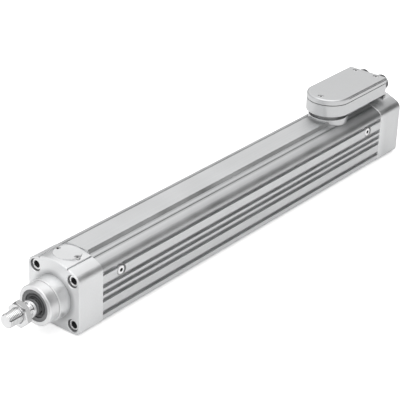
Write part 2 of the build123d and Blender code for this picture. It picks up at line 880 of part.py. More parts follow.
# Lid: rounded top edge, hollow underneath, counterbored for three screws
with BuildPart() as box_lid:
    extrude(box_outline(lid_bottom, 0, 0), amount=box_top_height - lid_bottom)
    fillet(box_lid.faces().sort_by(Axis.Z)[-1].edges(), radius=lid_edge_radius)
    extrude(
        box_outline(lid_bottom, box_wall, box_rear_wall),
        amount=box_top_height - lid_wall - lid_bottom,
        mode=Mode.SUBTRACT,
    )
    extrude(lid_posts(lid_bottom), amount=box_top_height - lid_wall - lid_bottom)
    extrude(
        spots(lid_screw_seat, lid_screw_places, lid_screw_head + head_clearance),
        amount=box_top_height - lid_screw_seat,
        mode=Mode.SUBTRACT,
    )
    extrude(
        spots(lid_bottom, lid_screw_places, lid_screw_shank + shank_clearance),
        amount=box_top_height - lid_bottom,
        mode=Mode.SUBTRACT,
    )
save(box_lid.part, "box_lid")

with BuildPart() as lid_screws:
    extrude(spots(lid_screw_seat, lid_screw_places, lid_screw_head), amount=lid_screw_head_height)
    extrude(spots(lid_screw_seat, lid_screw_places, lid_screw_shank), amount=lid_screw_end - lid_screw_seat)
save(lid_screws.part, "lid_screws")

# Terminal board on its posts, with two terminal blocks and four screws
board_top = terminal_board_height + terminal_board_thickness
with BuildPart() as terminal_board:
    with BuildSketch(Plane.XY.offset(terminal_board_height)):
        with Locations((board_middle, 0)):
            Rectangle(terminal_board_length, terminal_board_width)
        with Locations(*board_screw_places):
            Circle(board_screw_shank + shank_clearance, mode=Mode.SUBTRACT)
    extrude(amount=terminal_board_thickness)
save(terminal_board.part, "terminal_board")

with BuildPart() as terminal_board_screws:
    extrude(spots(board_top, board_screw_places, board_screw_head), amount=board_screw_head_height)
    extrude(spots(board_top, board_screw_places, board_screw_shank), amount=-board_screw_length)
save(terminal_board_screws.part, "terminal_board_screws")

with BuildPart() as terminal_blocks:
    with BuildSketch(Plane.XY.offset(board_top)):
        with Locations((board_middle, -terminal_block_offset), (board_middle, terminal_block_offset)):
            Rectangle(terminal_block_length, terminal_block_width)
    extrude(amount=terminal_block_height)
save(terminal_blocks.part, "terminal_blocks")


def rear_disc(place, start, end, radius):
    """Cylinder along X at a connector's place, between two distances behind the box."""
    with BuildPart() as body:
        with BuildSketch(section_plane(box_rear - start)):
            with Locations(place):
                Circle(radius)
        extrude(amount=start - end)
    return body.part


def connector_shell(place):
    """Shell of a round connector: tail in the wall, flange and plug thread."""
    with BuildPart() as shell:
        add(rear_disc(place, -box_rear_wall, 0, connector_body_radius))
        add(rear_disc(place, 0, connector_flange_thickness, connector_flange_radius))
        add(rear_disc(place, 0, connector_length, connector_sleeve_radius))
        add(
            rear_disc(place, connector_floor, connector_length, connector_bore_radius),
            mode=Mode.SUBTRACT,
        )
        add(
            rear_disc(place, -box_rear_wall, connector_floor, connector_wire_radius),
            mode=Mode.SUBTRACT,
        )
    return shell.part


def connector_insert(place):
    """Insulating insert with a circle of contact holes."""
    front = connector_length - insert_recess
    with BuildPart() as insert:
        add(rear_disc(place, connector_floor, front, connector_bore_radius - seat_clearance))
        with BuildSketch(section_plane(box_rear - front)):
            with Locations(place):
                with PolarLocations(contact_circle, contact_count):
                    Circle(contact_radius)
        extrude(amount=insert_hole_depth, mode=Mode.SUBTRACT)
    return insert.part


# Round connectors side by side at the box's rear
save(connector_shell(connector_places[1]), "motor_connector")
save(connector_insert(connector_places[1]), "motor_connector_insert")
save(connector_shell(connector_places[0]), "sensor_connector")
save(connector_insert(connector_places[0]), "sensor_connector_insert")

coupling_front = connector_flange_thickness + connector_ring_gap
coupling_inner = connector_sleeve_radius + connector_ring_clearance
with BuildPart() as coupling_rings:
    with BuildSketch(section_plane(box_rear - coupling_front)):
        for place in connector_places:
            with Locations(place):
                Circle(connector_ring_radius)
                with PolarLocations(connector_ring_radius, knurl_count):
                    Rectangle(2 * knurl_depth, knurl_width, mode=Mode.SUBTRACT)
                Circle(coupling_inner, mode=Mode.SUBTRACT)
    extrude(amount=-connector_ring_length)
save(coupling_rings.part, "coupling_rings")

# Piston rod: threaded tip, ground rod and the spindle that carries the slider.
# Behind the nut's front face the thread is drawn at its pitch radius, so the free end is one wall.
rod_tip = shoulder_place + rod_thread_length
nut_rear = shoulder_place + nut_gap
nut_front = nut_rear + nut_thickness
spindle_end = slider_rear + spindle_end_gap
rod_points = (
    (spindle_end, 0),
    (spindle_end, spindle_radius),
    (slider_front, spindle_radius),
    (slider_front, rod_radius),
    (shoulder_place - rod_shoulder_chamfer, rod_radius),
    (shoulder_place, rod_radius - rod_shoulder_chamfer),
    (shoulder_place, thread_pitch_radius),
    (nut_front, thread_pitch_radius),
    (nut_front, rod_thread_radius),
    (rod_tip - rod_tip_chamfer, rod_thread_radius),
    (rod_tip, rod_thread_radius - rod_tip_chamfer),
    (rod_tip, 0),
)
save(turned(rod_points), "piston_rod")

# Hexagon nut with chamfered corners on the rod's thread
nut_corner = nut_flats / sqrt(3)
nut_face_radius = nut_corner - nut_chamfer
nut_cone = (
    (nut_rear, 0),
    (nut_rear, nut_face_radius),
    (nut_rear + nut_chamfer_length, nut_corner),
    (nut_front - nut_chamfer_length, nut_corner),
    (nut_front, nut_face_radius),
    (nut_front, 0),
)
with BuildPart() as rod_nut:
    with BuildSketch(section_plane(nut_rear)):
        RegularPolygon(nut_flats / 2, 6, major_radius=False, rotation=nut_turn)
        Circle(thread_pitch_radius + thread_clearance, mode=Mode.SUBTRACT)
    extrude(amount=nut_thickness)
    add(turned(nut_cone), mode=Mode.INTERSECT)
save(rod_nut.part, "rod_nut")

# Slider: guide discs with bands, magnets, pole rings, sleeve and nut
spindle_bore = spindle_radius + seat_clearance
sleeve_inner = sleeve_outer_radius - sleeve_wall
magnet_radius = sleeve_inner - seat_clearance
stack_front = slider_front - guide_disc_length
stack_rear = slider_rear + guide_disc_length
stack_length = stack_front - stack_rear
magnet_length = (stack_length - (magnet_count + 1) * pole_thickness) / magnet_count
band_outer = liner_radius - band_running_clearance
band_inner = band_outer - guide_band_wall
band_inset = (guide_disc_length - guide_band_width) / 2


def guide_disc(front):
    """Disc that carries one guide band in a groove round its rim."""
    with BuildPart() as body:
        add(ring(front, guide_disc_length, guide_disc_radius, spindle_bore))
        groove_front = front - band_inset + band_side_gap
        groove_length = guide_band_width + 2 * band_side_gap
        add(
            ring(groove_front, groove_length, liner_radius, band_inner - seat_clearance),
            mode=Mode.SUBTRACT,
        )
    return body.part


save(guide_disc(slider_front), "front_guide_disc")
with BuildPart() as rear_guide_disc:
    add(guide_disc(slider_rear + guide_disc_length))
    extrude(
        disc(section_plane(slider_rear), slider_nut_recess_radius),
        amount=slider_nut_recess_depth,
        mode=Mode.SUBTRACT,
    )
save(rear_guide_disc.part, "rear_guide_disc")

with BuildPart() as guide_bands:
    for front in (slider_front, slider_rear + guide_disc_length):
        add(ring(front - band_inset, guide_band_width, band_outer, band_inner))
save(guide_bands.part, "guide_bands")

with BuildPart() as magnet_rings:
    for number in range(magnet_count):
        front = stack_front - pole_thickness - number * (magnet_length + pole_thickness)
        add(ring(front, magnet_length, magnet_radius, spindle_bore))
save(magnet_rings.part, "magnet_rings")

with BuildPart() as pole_rings:
    for number in range(magnet_count + 1):
        front = stack_front - number * (magnet_length + pole_thickness)
        add(ring(front, pole_thickness, magnet_radius, spindle_bore))
save(pole_rings.part, "pole_rings")
save(ring(stack_front, stack_length, sleeve_outer_radius, sleeve_inner), "magnet_sleeve")

with BuildPart() as slider_nut:
    nut_place = slider_rear + slider_nut_recess_depth
    with BuildSketch(section_plane(nut_place)):
        RegularPolygon(slider_nut_flats / 2, 6, major_radius=False)
        Circle(spindle_radius + thread_clearance, mode=Mode.SUBTRACT)
    extrude(amount=-slider_nut_thickness)
save(slider_nut.part, "slider_nut")
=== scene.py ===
# %% [markdown]
# Electric cylinder, dressed for a studio picture.
# The solid model comes in as a fixed frame. This lesson gives every part its finish, models the
# small turned pieces and lights the whole like a catalogue photograph.

# %% Load the frame
import json
from math import atan2, pi, radians, sqrt

import bmesh
import bpy
from mathutils import Matrix, Vector


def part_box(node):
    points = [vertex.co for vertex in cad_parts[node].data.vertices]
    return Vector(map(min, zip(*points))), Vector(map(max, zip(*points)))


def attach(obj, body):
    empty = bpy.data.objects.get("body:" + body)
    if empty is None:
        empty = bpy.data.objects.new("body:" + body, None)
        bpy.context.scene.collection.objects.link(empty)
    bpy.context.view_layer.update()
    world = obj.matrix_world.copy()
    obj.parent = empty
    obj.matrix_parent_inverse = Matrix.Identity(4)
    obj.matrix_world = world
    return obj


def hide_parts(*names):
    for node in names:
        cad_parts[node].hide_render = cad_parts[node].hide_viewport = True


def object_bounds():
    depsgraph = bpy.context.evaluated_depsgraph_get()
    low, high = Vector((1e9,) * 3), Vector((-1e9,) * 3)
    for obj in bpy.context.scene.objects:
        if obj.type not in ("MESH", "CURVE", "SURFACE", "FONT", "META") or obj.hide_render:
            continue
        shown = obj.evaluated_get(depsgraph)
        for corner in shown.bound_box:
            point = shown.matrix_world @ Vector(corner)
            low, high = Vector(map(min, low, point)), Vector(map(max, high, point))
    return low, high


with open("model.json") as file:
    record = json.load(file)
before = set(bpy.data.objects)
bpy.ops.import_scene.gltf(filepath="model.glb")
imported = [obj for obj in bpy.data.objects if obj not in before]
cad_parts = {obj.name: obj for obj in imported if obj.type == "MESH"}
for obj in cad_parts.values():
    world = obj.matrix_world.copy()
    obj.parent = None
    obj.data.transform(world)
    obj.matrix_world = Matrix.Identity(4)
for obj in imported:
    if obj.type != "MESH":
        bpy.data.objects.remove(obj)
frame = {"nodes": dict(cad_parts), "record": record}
cad_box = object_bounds()
print("frame loaded:", len(frame["nodes"]), "nodes, box", cad_box)

# %% [markdown]
# The camera comes first, because everything else is judged through it. The photograph was taken
# with a long lens from the front right, a little above. Its three directions were solved from the
# cylinder's own parallel edges, so the camera is placed by numbers and not by eye.

# %% Camera
camera_place = Vector((0.60315, 0.58282, 0.50170))
camera_right = Vector((-0.625392, 0.779586, 0.033615))
camera_up = Vector((-0.338299, -0.309703, 0.888616))
camera_back = Vector((0.703163, 0.544361, 0.457419))
camera_data = bpy.data.cameras.new("camera")
camera_data.lens = 136.007
camera_data.sensor_width = 36
camera_data.clip_start = 0.01
camera = bpy.data.objects.new("camera", camera_data)
camera_turn = Matrix((camera_right, camera_up, camera_back)).transposed().to_4x4()
camera.matrix_world = Matrix.Translation(camera_place) @ camera_turn
bpy.context.collection.objects.link(camera)
bpy.context.scene.camera = camera
print("camera at", tuple(round(v, 3) for v in camera_place), "lens", round(camera_data.lens, 1))

# %% [markdown]
# The cylinder lies on a pale floor of paper. Real paper under a real lamp comes out grey, so the
# floor glows a little for the camera alone. That keeps it white in the picture, and the cylinder
# gets no more light from it than from paper.

# %% Floor
floor_gap = 0.0004
floor_glow = 0.45
floor_height = cad_box[0][2]
bpy.ops.object.select_all(action="DESELECT")
bpy.ops.mesh.primitive_plane_add(size=30, location=(0, 0, floor_height - floor_gap))
floor = bpy.context.object
floor.name = "floor"
paper = bpy.data.materials.new("floor_paper")
paper.use_nodes = True
paper_nodes = paper.node_tree
paper_shader = paper_nodes.nodes["Principled BSDF"]
paper_shader.inputs["Base Color"].default_value = (0.93, 0.93, 0.93, 1)
paper_shader.inputs["Roughness"].default_value = 0.9
paper_shader.inputs["Emission Color"].default_value = (1, 1, 1, 1)
looked_at = paper_nodes.nodes.new("ShaderNodeLightPath")
glow = paper_nodes.nodes.new("ShaderNodeMath")
glow.operation = "MULTIPLY"
glow.inputs[1].default_value = floor_glow
paper_nodes.links.new(looked_at.outputs["Is Camera Ray"], glow.inputs[0])
paper_nodes.links.new(glow.outputs[0], paper_shader.inputs["Emission Strength"])
floor.data.materials.append(paper)
print("floor at", round(floor_height, 4))

# %% [markdown]
# One large soft panel hangs above, as over a photographer's table. A small lamp would give metal
# hard bright spots, and a large one gives it broad, even shine.

# %% Lamp
barrel_middle = Vector((-0.18, 0, 0))
lamp_place = Vector((0.1, 0.1, 1.6))
lamp = bpy.data.lights.new("panel_above", "AREA")
lamp.shape = "RECTANGLE"
lamp.size = 2.2
lamp.size_y = 2.2
lamp.energy = 15.5
panel = bpy.data.objects.new("panel_above", lamp)
panel.location = lamp_place
panel.rotation_euler = (barrel_middle - lamp_place).to_track_quat("-Z", "Y").to_euler()
bpy.context.collection.objects.link(panel)
print("panel of", round(lamp.size, 1), "m at height", round(lamp_place.z, 1))

# %% [markdown]
# Metal shows what surrounds it, so the room matters more than the lamp. A picture of a studio could
# be wrapped round the scene, but a few soft patches of light and dark are easier to steer. Each
# patch is found by how near a direction comes to the patch's own direction.

# %% Helpers for the room
world = bpy.data.worlds.new("studio")
bpy.context.scene.world = world
world.use_nodes = True
room = world.node_tree
outlook = room.nodes.new("ShaderNodeTexCoord")


def room_fall(source, low, high, at_low, at_high):
    """Fades the room's light smoothly between two values of a direction."""
    fade = room.nodes.new("ShaderNodeMapRange")
    fade.interpolation_type = "SMOOTHSTEP"
    for label, value in (("From Min", low), ("From Max", high), ("To Min", at_low), ("To Max", at_high)):
        fade.inputs[label].default_value = value
    room.links.new(source, fade.inputs["Value"])
    return fade.outputs["Result"]


def room_patch(direction, low, high, at_low, at_high):
    """Lights or darkens a round patch of the room's wall and ceiling."""
    nearness = room.nodes.new("ShaderNodeVectorMath")
    nearness.operation = "DOT_PRODUCT"
    nearness.inputs[1].default_value = Vector(direction).normalized()
    room.links.new(outlook.outputs["Generated"], nearness.inputs[0])
    return room_fall(nearness.outputs["Value"], low, high, at_low, at_high)


print("room helpers ready")

# %% [markdown]
# The ceiling is bright and the walls are dark low down. A dark corner behind draws the band along
# the barrel's shoulder and the rod, and a small one on the other side gives the rod its dark edge.
# Straight above, the lamp is the light and the ceiling stays dim. The camera itself sees none of
# this: for it the room is nearly white, as in a catalogue.

# %% Room
seen_brightness = 0.95
height = room.nodes.new("ShaderNodeSeparateXYZ")
room.links.new(outlook.outputs["Generated"], height.inputs[0])
shaded = room_fall(height.outputs["Z"], low=0.12, high=0.36, at_low=0.08, at_high=0.95)
patches = (
    room_patch((-0.70, 0.54, 0.45), low=0.73, high=0.98, at_low=1.0, at_high=0.06),
    room_patch((-0.66, -0.74, 0.10), low=0.955, high=0.99, at_low=1.0, at_high=0.10),
    room_patch((0, 0, 1), low=0.93, high=0.99, at_low=1.0, at_high=0.20),
)
for patch in patches:
    product = room.nodes.new("ShaderNodeMath")
    product.operation = "MULTIPLY"
    room.links.new(shaded, product.inputs[0])
    room.links.new(patch, product.inputs[1])
    shaded = product.outputs[0]
seen = room.nodes.new("ShaderNodeLightPath")
choice = room.nodes.new("ShaderNodeMix")
choice.inputs["B"].default_value = seen_brightness
room.links.new(seen.outputs["Is Camera Ray"], choice.inputs["Factor"])
room.links.new(shaded, choice.inputs["A"])
room.links.new(choice.outputs["Result"], room.nodes["Background"].inputs["Strength"])
room.nodes["Background"].inputs["Color"].default_value = (1, 1, 1, 1)
bpy.context.scene.view_settings.view_transform = "Standard"
print("room with", len(patches), "patches")

# %% [markdown]
# Real metal is never one flat tone. Effects that several finishes share are node groups: each is
# built once and placed in a material with its own values. These helpers add a group, find its two
# ends and add a node, in one line each.


# %% Helpers for shader groups
def new_group(name, inputs, outputs):
    """Makes an empty shader group with named float inputs and outputs."""
    group = bpy.data.node_groups.new(name, "ShaderNodeTree")
    for label, value in inputs:
        socket = group.interface.new_socket(label, in_out="INPUT", socket_type="NodeSocketFloat")
        socket.default_value = value
    for label in outputs:
        group.interface.new_socket(label, in_out="OUTPUT", socket_type="NodeSocketFloat")
    group.nodes.new("NodeGroupInput")
    group.nodes.new("NodeGroupOutput")
    return group


def ends_of(group):
    """The group's own input and output nodes."""
    start = next(n for n in group.nodes if n.type == "GROUP_INPUT")
    end = next(n for n in group.nodes if n.type == "GROUP_OUTPUT")
    return start, end


def node_of(tree, kind, **values):
    """Adds a node and sets its properties."""
    node = tree.nodes.new(kind)
    for key, value in values.items():
        setattr(node, key, value)
    return node


print("group helpers ready")

# %% [markdown]
# Nearly every effect is a sum over the object's own coordinates. These stay with the object when
# the rod moves out, so that its marks move along with it.


# %% Helpers for sums and places
def math_of(tree, operation, first, second=0.5, clamp=False):
    """Adds a math node. Each side is a number or another node's output."""
    node = node_of(tree, "ShaderNodeMath", operation=operation, use_clamp=clamp)
    for socket, value in zip(node.inputs, (first, second)):
        if isinstance(value, (int, float)):
            socket.default_value = value
        else:
            tree.links.new(value, socket)
    return node.outputs[0]


def spread_out(tree):
    """The object's own coordinates, as three outputs."""
    spot = node_of(tree, "ShaderNodeTexCoord")
    parts = node_of(tree, "ShaderNodeSeparateXYZ")
    tree.links.new(spot.outputs["Object"], parts.inputs[0])
    return parts.outputs


def length_of(tree, first, second):
    """The length of two sides taken together. For y and z it is the distance from the rod axis."""
    squares = [math_of(tree, "MULTIPLY", side, side) for side in (first, second)]
    return math_of(tree, "SQRT", math_of(tree, "ADD", squares[0], squares[1]))


print("sum helpers ready")

# %% [markdown]
# Lines along the barrel: a noise that is squeezed hard across the rod axis and hardly at all along
# it. That is what an extrusion die draws into aluminium. A brushed texture in a picture would need
# unwrapping, and this needs only the object's own coordinates.

# %% Drawn lines
drawn_lines = new_group("drawn lines", [("Lines per metre", 2500.0), ("Run", 3.0)], ["Mask"])
start, end = ends_of(drawn_lines)
x, y, z = spread_out(drawn_lines)
squeezed = node_of(drawn_lines, "ShaderNodeCombineXYZ")
drawn_lines.links.new(math_of(drawn_lines, "MULTIPLY", x, start.outputs["Run"]), squeezed.inputs[0])
for side, socket in ((y, squeezed.inputs[1]), (z, squeezed.inputs[2])):
    across = math_of(drawn_lines, "MULTIPLY", side, start.outputs["Lines per metre"])
    drawn_lines.links.new(across, socket)
streaks = node_of(drawn_lines, "ShaderNodeTexNoise")
streaks.inputs["Scale"].default_value = 1.0
streaks.inputs["Detail"].default_value = 3.0
drawn_lines.links.new(squeezed.outputs[0], streaks.inputs["Vector"])
drawn_lines.links.new(streaks.outputs["Fac"], end.inputs["Mask"])
print("group", drawn_lines.name)

# %% [markdown]
# Lathe rings: how far a point lies from the rod axis, plus how far along it, in fine steps. On a
# flat end face that gives circles, and on a turned side it gives bands. A slow cloud is added, so
# that the rings fade in and out as a worn tool leaves them.

# %% Turned rings
cloud_scale = 180.0
sum_range = 1.3
turned_rings = new_group("turned rings", [("Rings per metre", 4000.0), ("Wander", 0.6)], ["Mask"])
start, end = ends_of(turned_rings)
x, y, z = spread_out(turned_rings)
step = math_of(turned_rings, "ADD", length_of(turned_rings, y, z), x)
scaled = math_of(turned_rings, "MULTIPLY", step, start.outputs["Rings per metre"])
rings = node_of(turned_rings, "ShaderNodeTexNoise", noise_dimensions="1D")
rings.inputs["Scale"].default_value = 1.0
rings.inputs["Detail"].default_value = 2.0
turned_rings.links.new(scaled, rings.inputs["W"])
place = node_of(turned_rings, "ShaderNodeTexCoord")
cloud = node_of(turned_rings, "ShaderNodeTexNoise")
cloud.inputs["Scale"].default_value = cloud_scale
turned_rings.links.new(place.outputs["Object"], cloud.inputs["Vector"])
wandering = math_of(turned_rings, "MULTIPLY", cloud.outputs["Fac"], start.outputs["Wander"])
both = math_of(turned_rings, "ADD", rings.outputs["Fac"], wandering)
turned_rings.links.new(math_of(turned_rings, "DIVIDE", both, sum_range), end.inputs["Mask"])
print("group", turned_rings.name)

# %% [markdown]
# Fine grain and slow clouds need no direction. Both are plain noise, one at the size of a grain of
# paint and one at the size of a fingertip, where hands and oil change the gloss.


# %% Grain and clouds
def plain_noise(name, scale, detail):
    """Makes a group that puts out noise of one size over the object."""
    group = new_group(name, [("Scale", scale)], ["Mask"])
    first, last = ends_of(group)
    spot = node_of(group, "ShaderNodeTexCoord")
    noise = node_of(group, "ShaderNodeTexNoise")
    noise.inputs["Detail"].default_value = detail
    group.links.new(spot.outputs["Object"], noise.inputs["Vector"])
    group.links.new(first.outputs["Scale"], noise.inputs["Scale"])
    group.links.new(noise.outputs["Fac"], last.inputs["Mask"])
    return group


fine_grain = plain_noise("fine grain", 3500.0, 2.0)
slow_clouds = plain_noise("slow clouds", 45.0, 3.0)
print("groups", fine_grain.name, "and", slow_clouds.name)

# %% [markdown]
# Places where less light falls, in corners, hollows and under other parts, get painted shade.
# They could be painted by hand on each mesh, but small groups can find them from the object's own
# coordinates, and then they stay exact when a mesh changes. These helpers start and close such a
# mask, fade it out and measure how far a point lies from a line.


# %% Helpers for masks
def new_mask(name, inputs):
    """Starts a group with one mask: gives the group, its inputs and the three coordinates."""
    group = new_group(name, inputs, ["Mask"])
    return group, ends_of(group)[0].outputs, spread_out(group)


def close_mask(group, first, *others):
    """Multiplies the parts of a mask, so that it is set where all are, and puts it out."""
    for other in others:
        first = math_of(group, "MULTIPLY", first, other)
    group.links.new(first, ends_of(group)[1].inputs["Mask"])
    print("mask", group.name)


def faded(tree, value, at_zero, at_one):
    """Runs smoothly from 0 to 1 between two values."""
    fade = node_of(tree, "ShaderNodeMapRange", interpolation_type="SMOOTHSTEP")
    fade.inputs["From Min"].default_value = at_zero
    fade.inputs["From Max"].default_value = at_one
    tree.links.new(value, fade.inputs["Value"])
    return fade.outputs["Result"]


def away_from(tree, value, line):
    """How far a value lies from a line, on either side."""
    return math_of(tree, "ABSOLUTE", math_of(tree, "SUBTRACT", value, line))


print("mask helpers ready")

# %% [markdown]
# The grooves in the barrel's flanks get painted shade: the deeper a point lies below the land, the
# darker it is. Only the flat part of the flank counts, so the round corners above and below get none.

# %% Grooves of the flanks
flank_half = 0.0166
groove_shade, given, (x, y, z) = new_mask("groove shade", [("Land", 0.0219), ("Depth", 0.0012)])
sunk = math_of(groove_shade, "SUBTRACT", given["Land"], math_of(groove_shade, "ABSOLUTE", y))
sunk = math_of(groove_shade, "DIVIDE", sunk, given["Depth"], clamp=True)
flank = math_of(groove_shade, "LESS_THAN", math_of(groove_shade, "ABSOLUTE", z), flank_half)
close_mask(groove_shade, sunk, flank)

# %% [markdown]
# The barrel's top is a crown with a raised flat. Painted shade lays a dark strip at the flat's foot
# and a fine line beside it, and makes the crown itself a little darker towards the flank. The three
# are taken together by their highest value, so that where they meet nothing gets darker twice.

# %% Foot of the raised flat
foot_width = 0.0030
foot_edge = -0.0001
foot_share = 0.75
line_reach = 0.0021
line_core = 0.0002
line_share = 0.8
crown_start = 0.0148
crown_end = 0.0205
crown_share = 0.33
top_start = 0.0165
foot_shade, given, (x, y, z) = new_mask("foot shade", [("Foot", 0.0100), ("Line", 0.0137)])
sideways = math_of(foot_shade, "ABSOLUTE", y)
past_foot = math_of(foot_shade, "SUBTRACT", sideways, given["Foot"])
beside_foot = faded(foot_shade, past_foot, foot_width, 0.0)
beside_foot = math_of(foot_shade, "MULTIPLY", beside_foot, foot_share)
outside_flat = math_of(foot_shade, "GREATER_THAN", past_foot, foot_edge)
beside_foot = math_of(foot_shade, "MULTIPLY", beside_foot, outside_flat)
off_line = away_from(foot_shade, sideways, given["Line"])
beside_line = faded(foot_shade, off_line, line_reach, line_core)
beside_line = math_of(foot_shade, "MULTIPLY", beside_line, line_share)
crown = faded(foot_shade, sideways, crown_start, crown_end)
crown = math_of(foot_shade, "MULTIPLY", crown, crown_share)
darkest = math_of(foot_shade, "MAXIMUM", beside_foot, beside_line)
darkest = math_of(foot_shade, "MAXIMUM", darkest, crown)
close_mask(foot_shade, darkest, math_of(foot_shade, "GREATER_THAN", z, top_start))

# %% [markdown]
# Two more places on the barrel get painted shade: the shoulder under the terminal box, which the box
# keeps in its shade, and the milled seats of the side screws, a narrow round gap about each head.

# %% Shoulder under the box and seats of the side screws
shade_run = 0.016
shade_side = 0.006
top_end = 0.0185
box_shade, given, (x, y, z) = new_mask("box shade", [("Front", -0.2960), ("Side", 0.0100)])
behind = faded(box_shade, math_of(box_shade, "SUBTRACT", given["Front"], x), 0.0, shade_run)
aside = math_of(box_shade, "SUBTRACT", math_of(box_shade, "ABSOLUTE", y), given["Side"])
aside = faded(box_shade, aside, 0.0, shade_side)
close_mask(box_shade, behind, aside, faded(box_shade, z, top_start, top_end))

seat_places = [("Front", -0.0407), ("Rear", -0.3331), ("Height", 0.0100), ("Radius", 0.0037)]
seat_shade, given, (x, y, z) = new_mask("seat shade", seat_places)
along = [away_from(seat_shade, x, given[label]) for label in ("Front", "Rear")]
along = math_of(seat_shade, "MINIMUM", along[0], along[1])
above = math_of(seat_shade, "SUBTRACT", z, given["Height"])
near = math_of(seat_shade, "LESS_THAN", length_of(seat_shade, along, above), given["Radius"])
close_mask(seat_shade, near)

# %% [markdown]
# In both caps painted shade darkens the inside of the screws' counterbores. On the front cap's face
# a soft painted shade and reflection lies round the foot of the collar, which is dimly mirrored there.
# The rear cap is painted darker towards its end, as the studio's light falls off.

# %% Corners of the caps
hole_shade, given, (x, y, z) = new_mask("hole shade", [("Offset", 0.01625), ("Radius", 0.00436)])
aside = math_of(hole_shade, "SUBTRACT", math_of(hole_shade, "ABSOLUTE", y), given["Offset"])
above = math_of(hole_shade, "SUBTRACT", math_of(hole_shade, "ABSOLUTE", z), given["Offset"])
from_screw = length_of(hole_shade, aside, above)
close_mask(hole_shade, math_of(hole_shade, "LESS_THAN", from_screw, given["Radius"]))

face_depth = 0.0002
collar_shade, given, (x, y, z) = new_mask("collar shade", [("Collar", 0.0150), ("Reach", 0.0048)])
from_foot = math_of(collar_shade, "SUBTRACT", length_of(collar_shade, y, z), given["Collar"])
share = math_of(collar_shade, "DIVIDE", from_foot, given["Reach"], clamp=True)
on_face = math_of(collar_shade, "LESS_THAN", math_of(collar_shade, "ABSOLUTE", x), face_depth)
close_mask(collar_shade, faded(collar_shade, share, 1.0, 0.0), on_face)

rear_shade, given, (x, y, z) = new_mask("rear shade", [("Start", -0.3500), ("End", -0.3600)])
fall = math_of(rear_shade, "SUBTRACT", given["Start"], given["End"])
past_start = math_of(rear_shade, "SUBTRACT", given["Start"], x)
close_mask(rear_shade, math_of(rear_shade, "DIVIDE", past_start, fall, clamp=True))

# %% [markdown]
# The nose meets the collar in a narrow step, where painted shade draws a dark line all round. The
# wiper inside it stays light at its rim and gets painted shade towards the rod, where it turns black.

# %% Step of the nose and core of the wiper
step_shade, given, (x, y, z) = new_mask("step shade", [("Step", 0.0094), ("Width", 0.0005)])
past_step = math_of(step_shade, "SUBTRACT", x, given["Step"])
near_step = math_of(step_shade, "LESS_THAN", past_step, given["Width"])
close_mask(step_shade, near_step, math_of(step_shade, "GREATER_THAN", x, 0))

core_shade, given, (x, y, z) = new_mask("core shade", [("Inner", 0.0066), ("Outer", 0.0092)])
from_inner = math_of(core_shade, "SUBTRACT", length_of(core_shade, y, z), given["Inner"])
width = math_of(core_shade, "SUBTRACT", given["Outer"], given["Inner"])
share = math_of(core_shade, "DIVIDE", from_inner, width, clamp=True)
close_mask(core_shade, math_of(core_shade, "SUBTRACT", 1.0, share))

# %% [markdown]
# The terminal box is cast and painted. Painted shade darkens the gap round the neck under the box,
# and a painted reflection draws a fine dark line below the lid's rounded rim. The shelf behind the
# box and the lid's round front get neither.

# %% Corners of the terminal box
shelf_front = -0.3630
lower_share = 0.5
layer_heights = [("Low", 0.0283), ("Middle", 0.0307), ("High", 0.0316)]
layer_shade, given, (x, y, z) = new_mask("layer shade", layer_heights)
over = math_of(layer_shade, "GREATER_THAN", z, given["Low"])
under = math_of(layer_shade, "LESS_THAN", z, given["High"])
before_shelf = math_of(layer_shade, "GREATER_THAN", x, shelf_front)
upper = math_of(layer_shade, "GREATER_THAN", z, given["Middle"])
upper = math_of(layer_shade, "MULTIPLY", upper, 1 - lower_share)
close_mask(layer_shade, over, under, before_shelf, math_of(layer_shade, "ADD", upper, lower_share))

front_round = -0.306
straight_side = -0.312
rim_shade, given, (x, y, z) = new_mask("rim shade", [("Height", 0.0444), ("Half", 0.0004)])
on_line = math_of(rim_shade, "LESS_THAN", away_from(rim_shade, z, given["Height"]), given["Half"])
close_mask(rim_shade, on_line, faded(rim_shade, x, front_round, straight_side))

# %% [markdown]
# The nut's six flats get painted shade, which makes them darker than its turned ends, and painted
# shade makes the thread's root darker than its crest.

# %% Flats of the nut and root of the thread
flat_places = [("Radius", 0.0077), ("Middle", 0.0300), ("Half", 0.0022)]
flat_shade, given, (x, y, z) = new_mask("flat shade", flat_places)
outside = math_of(flat_shade, "GREATER_THAN", length_of(flat_shade, y, z), given["Radius"])
between = math_of(flat_shade, "LESS_THAN", away_from(flat_shade, x, given["Middle"]), given["Half"])
close_mask(flat_shade, outside, between)

root_places = [("Start", 0.0256), ("End", 0.0424), ("Crest", 0.00488), ("Face", 0.0044)]
root_shade, given, (x, y, z) = new_mask("root shade", root_places)
radius = length_of(root_shade, y, z)
low = math_of(root_shade, "LESS_THAN", radius, given["Crest"])
off_face = math_of(root_shade, "GREATER_THAN", radius, given["Face"])
past_start = math_of(root_shade, "GREATER_THAN", x, given["Start"])
before_end = math_of(root_shade, "LESS_THAN", x, given["End"])
close_mask(root_shade, low, off_face, past_start, before_end)

# %% [markdown]
# All finishes share a few values. Noise hardly ever leaves the range from 0.3 to 0.7, so that range
# is stretched to the full change of colour and gloss.

# %% Values that all finishes share
noise_low = 0.3
noise_high = 0.7
marks_share = 0.7
gloss_spread = 0.15
bump_depth = 0.0002
mark_groups = {"grain": fine_grain, "drawn": drawn_lines, "turned": turned_rings}


def shifted(color, factor):
    """The colour made lighter or darker by a factor."""
    return tuple(min(1.0, channel * factor) for channel in color) + (1,)


print("kinds of marks:", ", ".join(mark_groups))

# %% [markdown]
# One recipe mixes the marks and clouds into a finish. The marks shift the colour a little, the
# clouds move the gloss, and the marks also raise a very low bump. Values that are the same all over,
# such as metallic, are set on the shader itself.


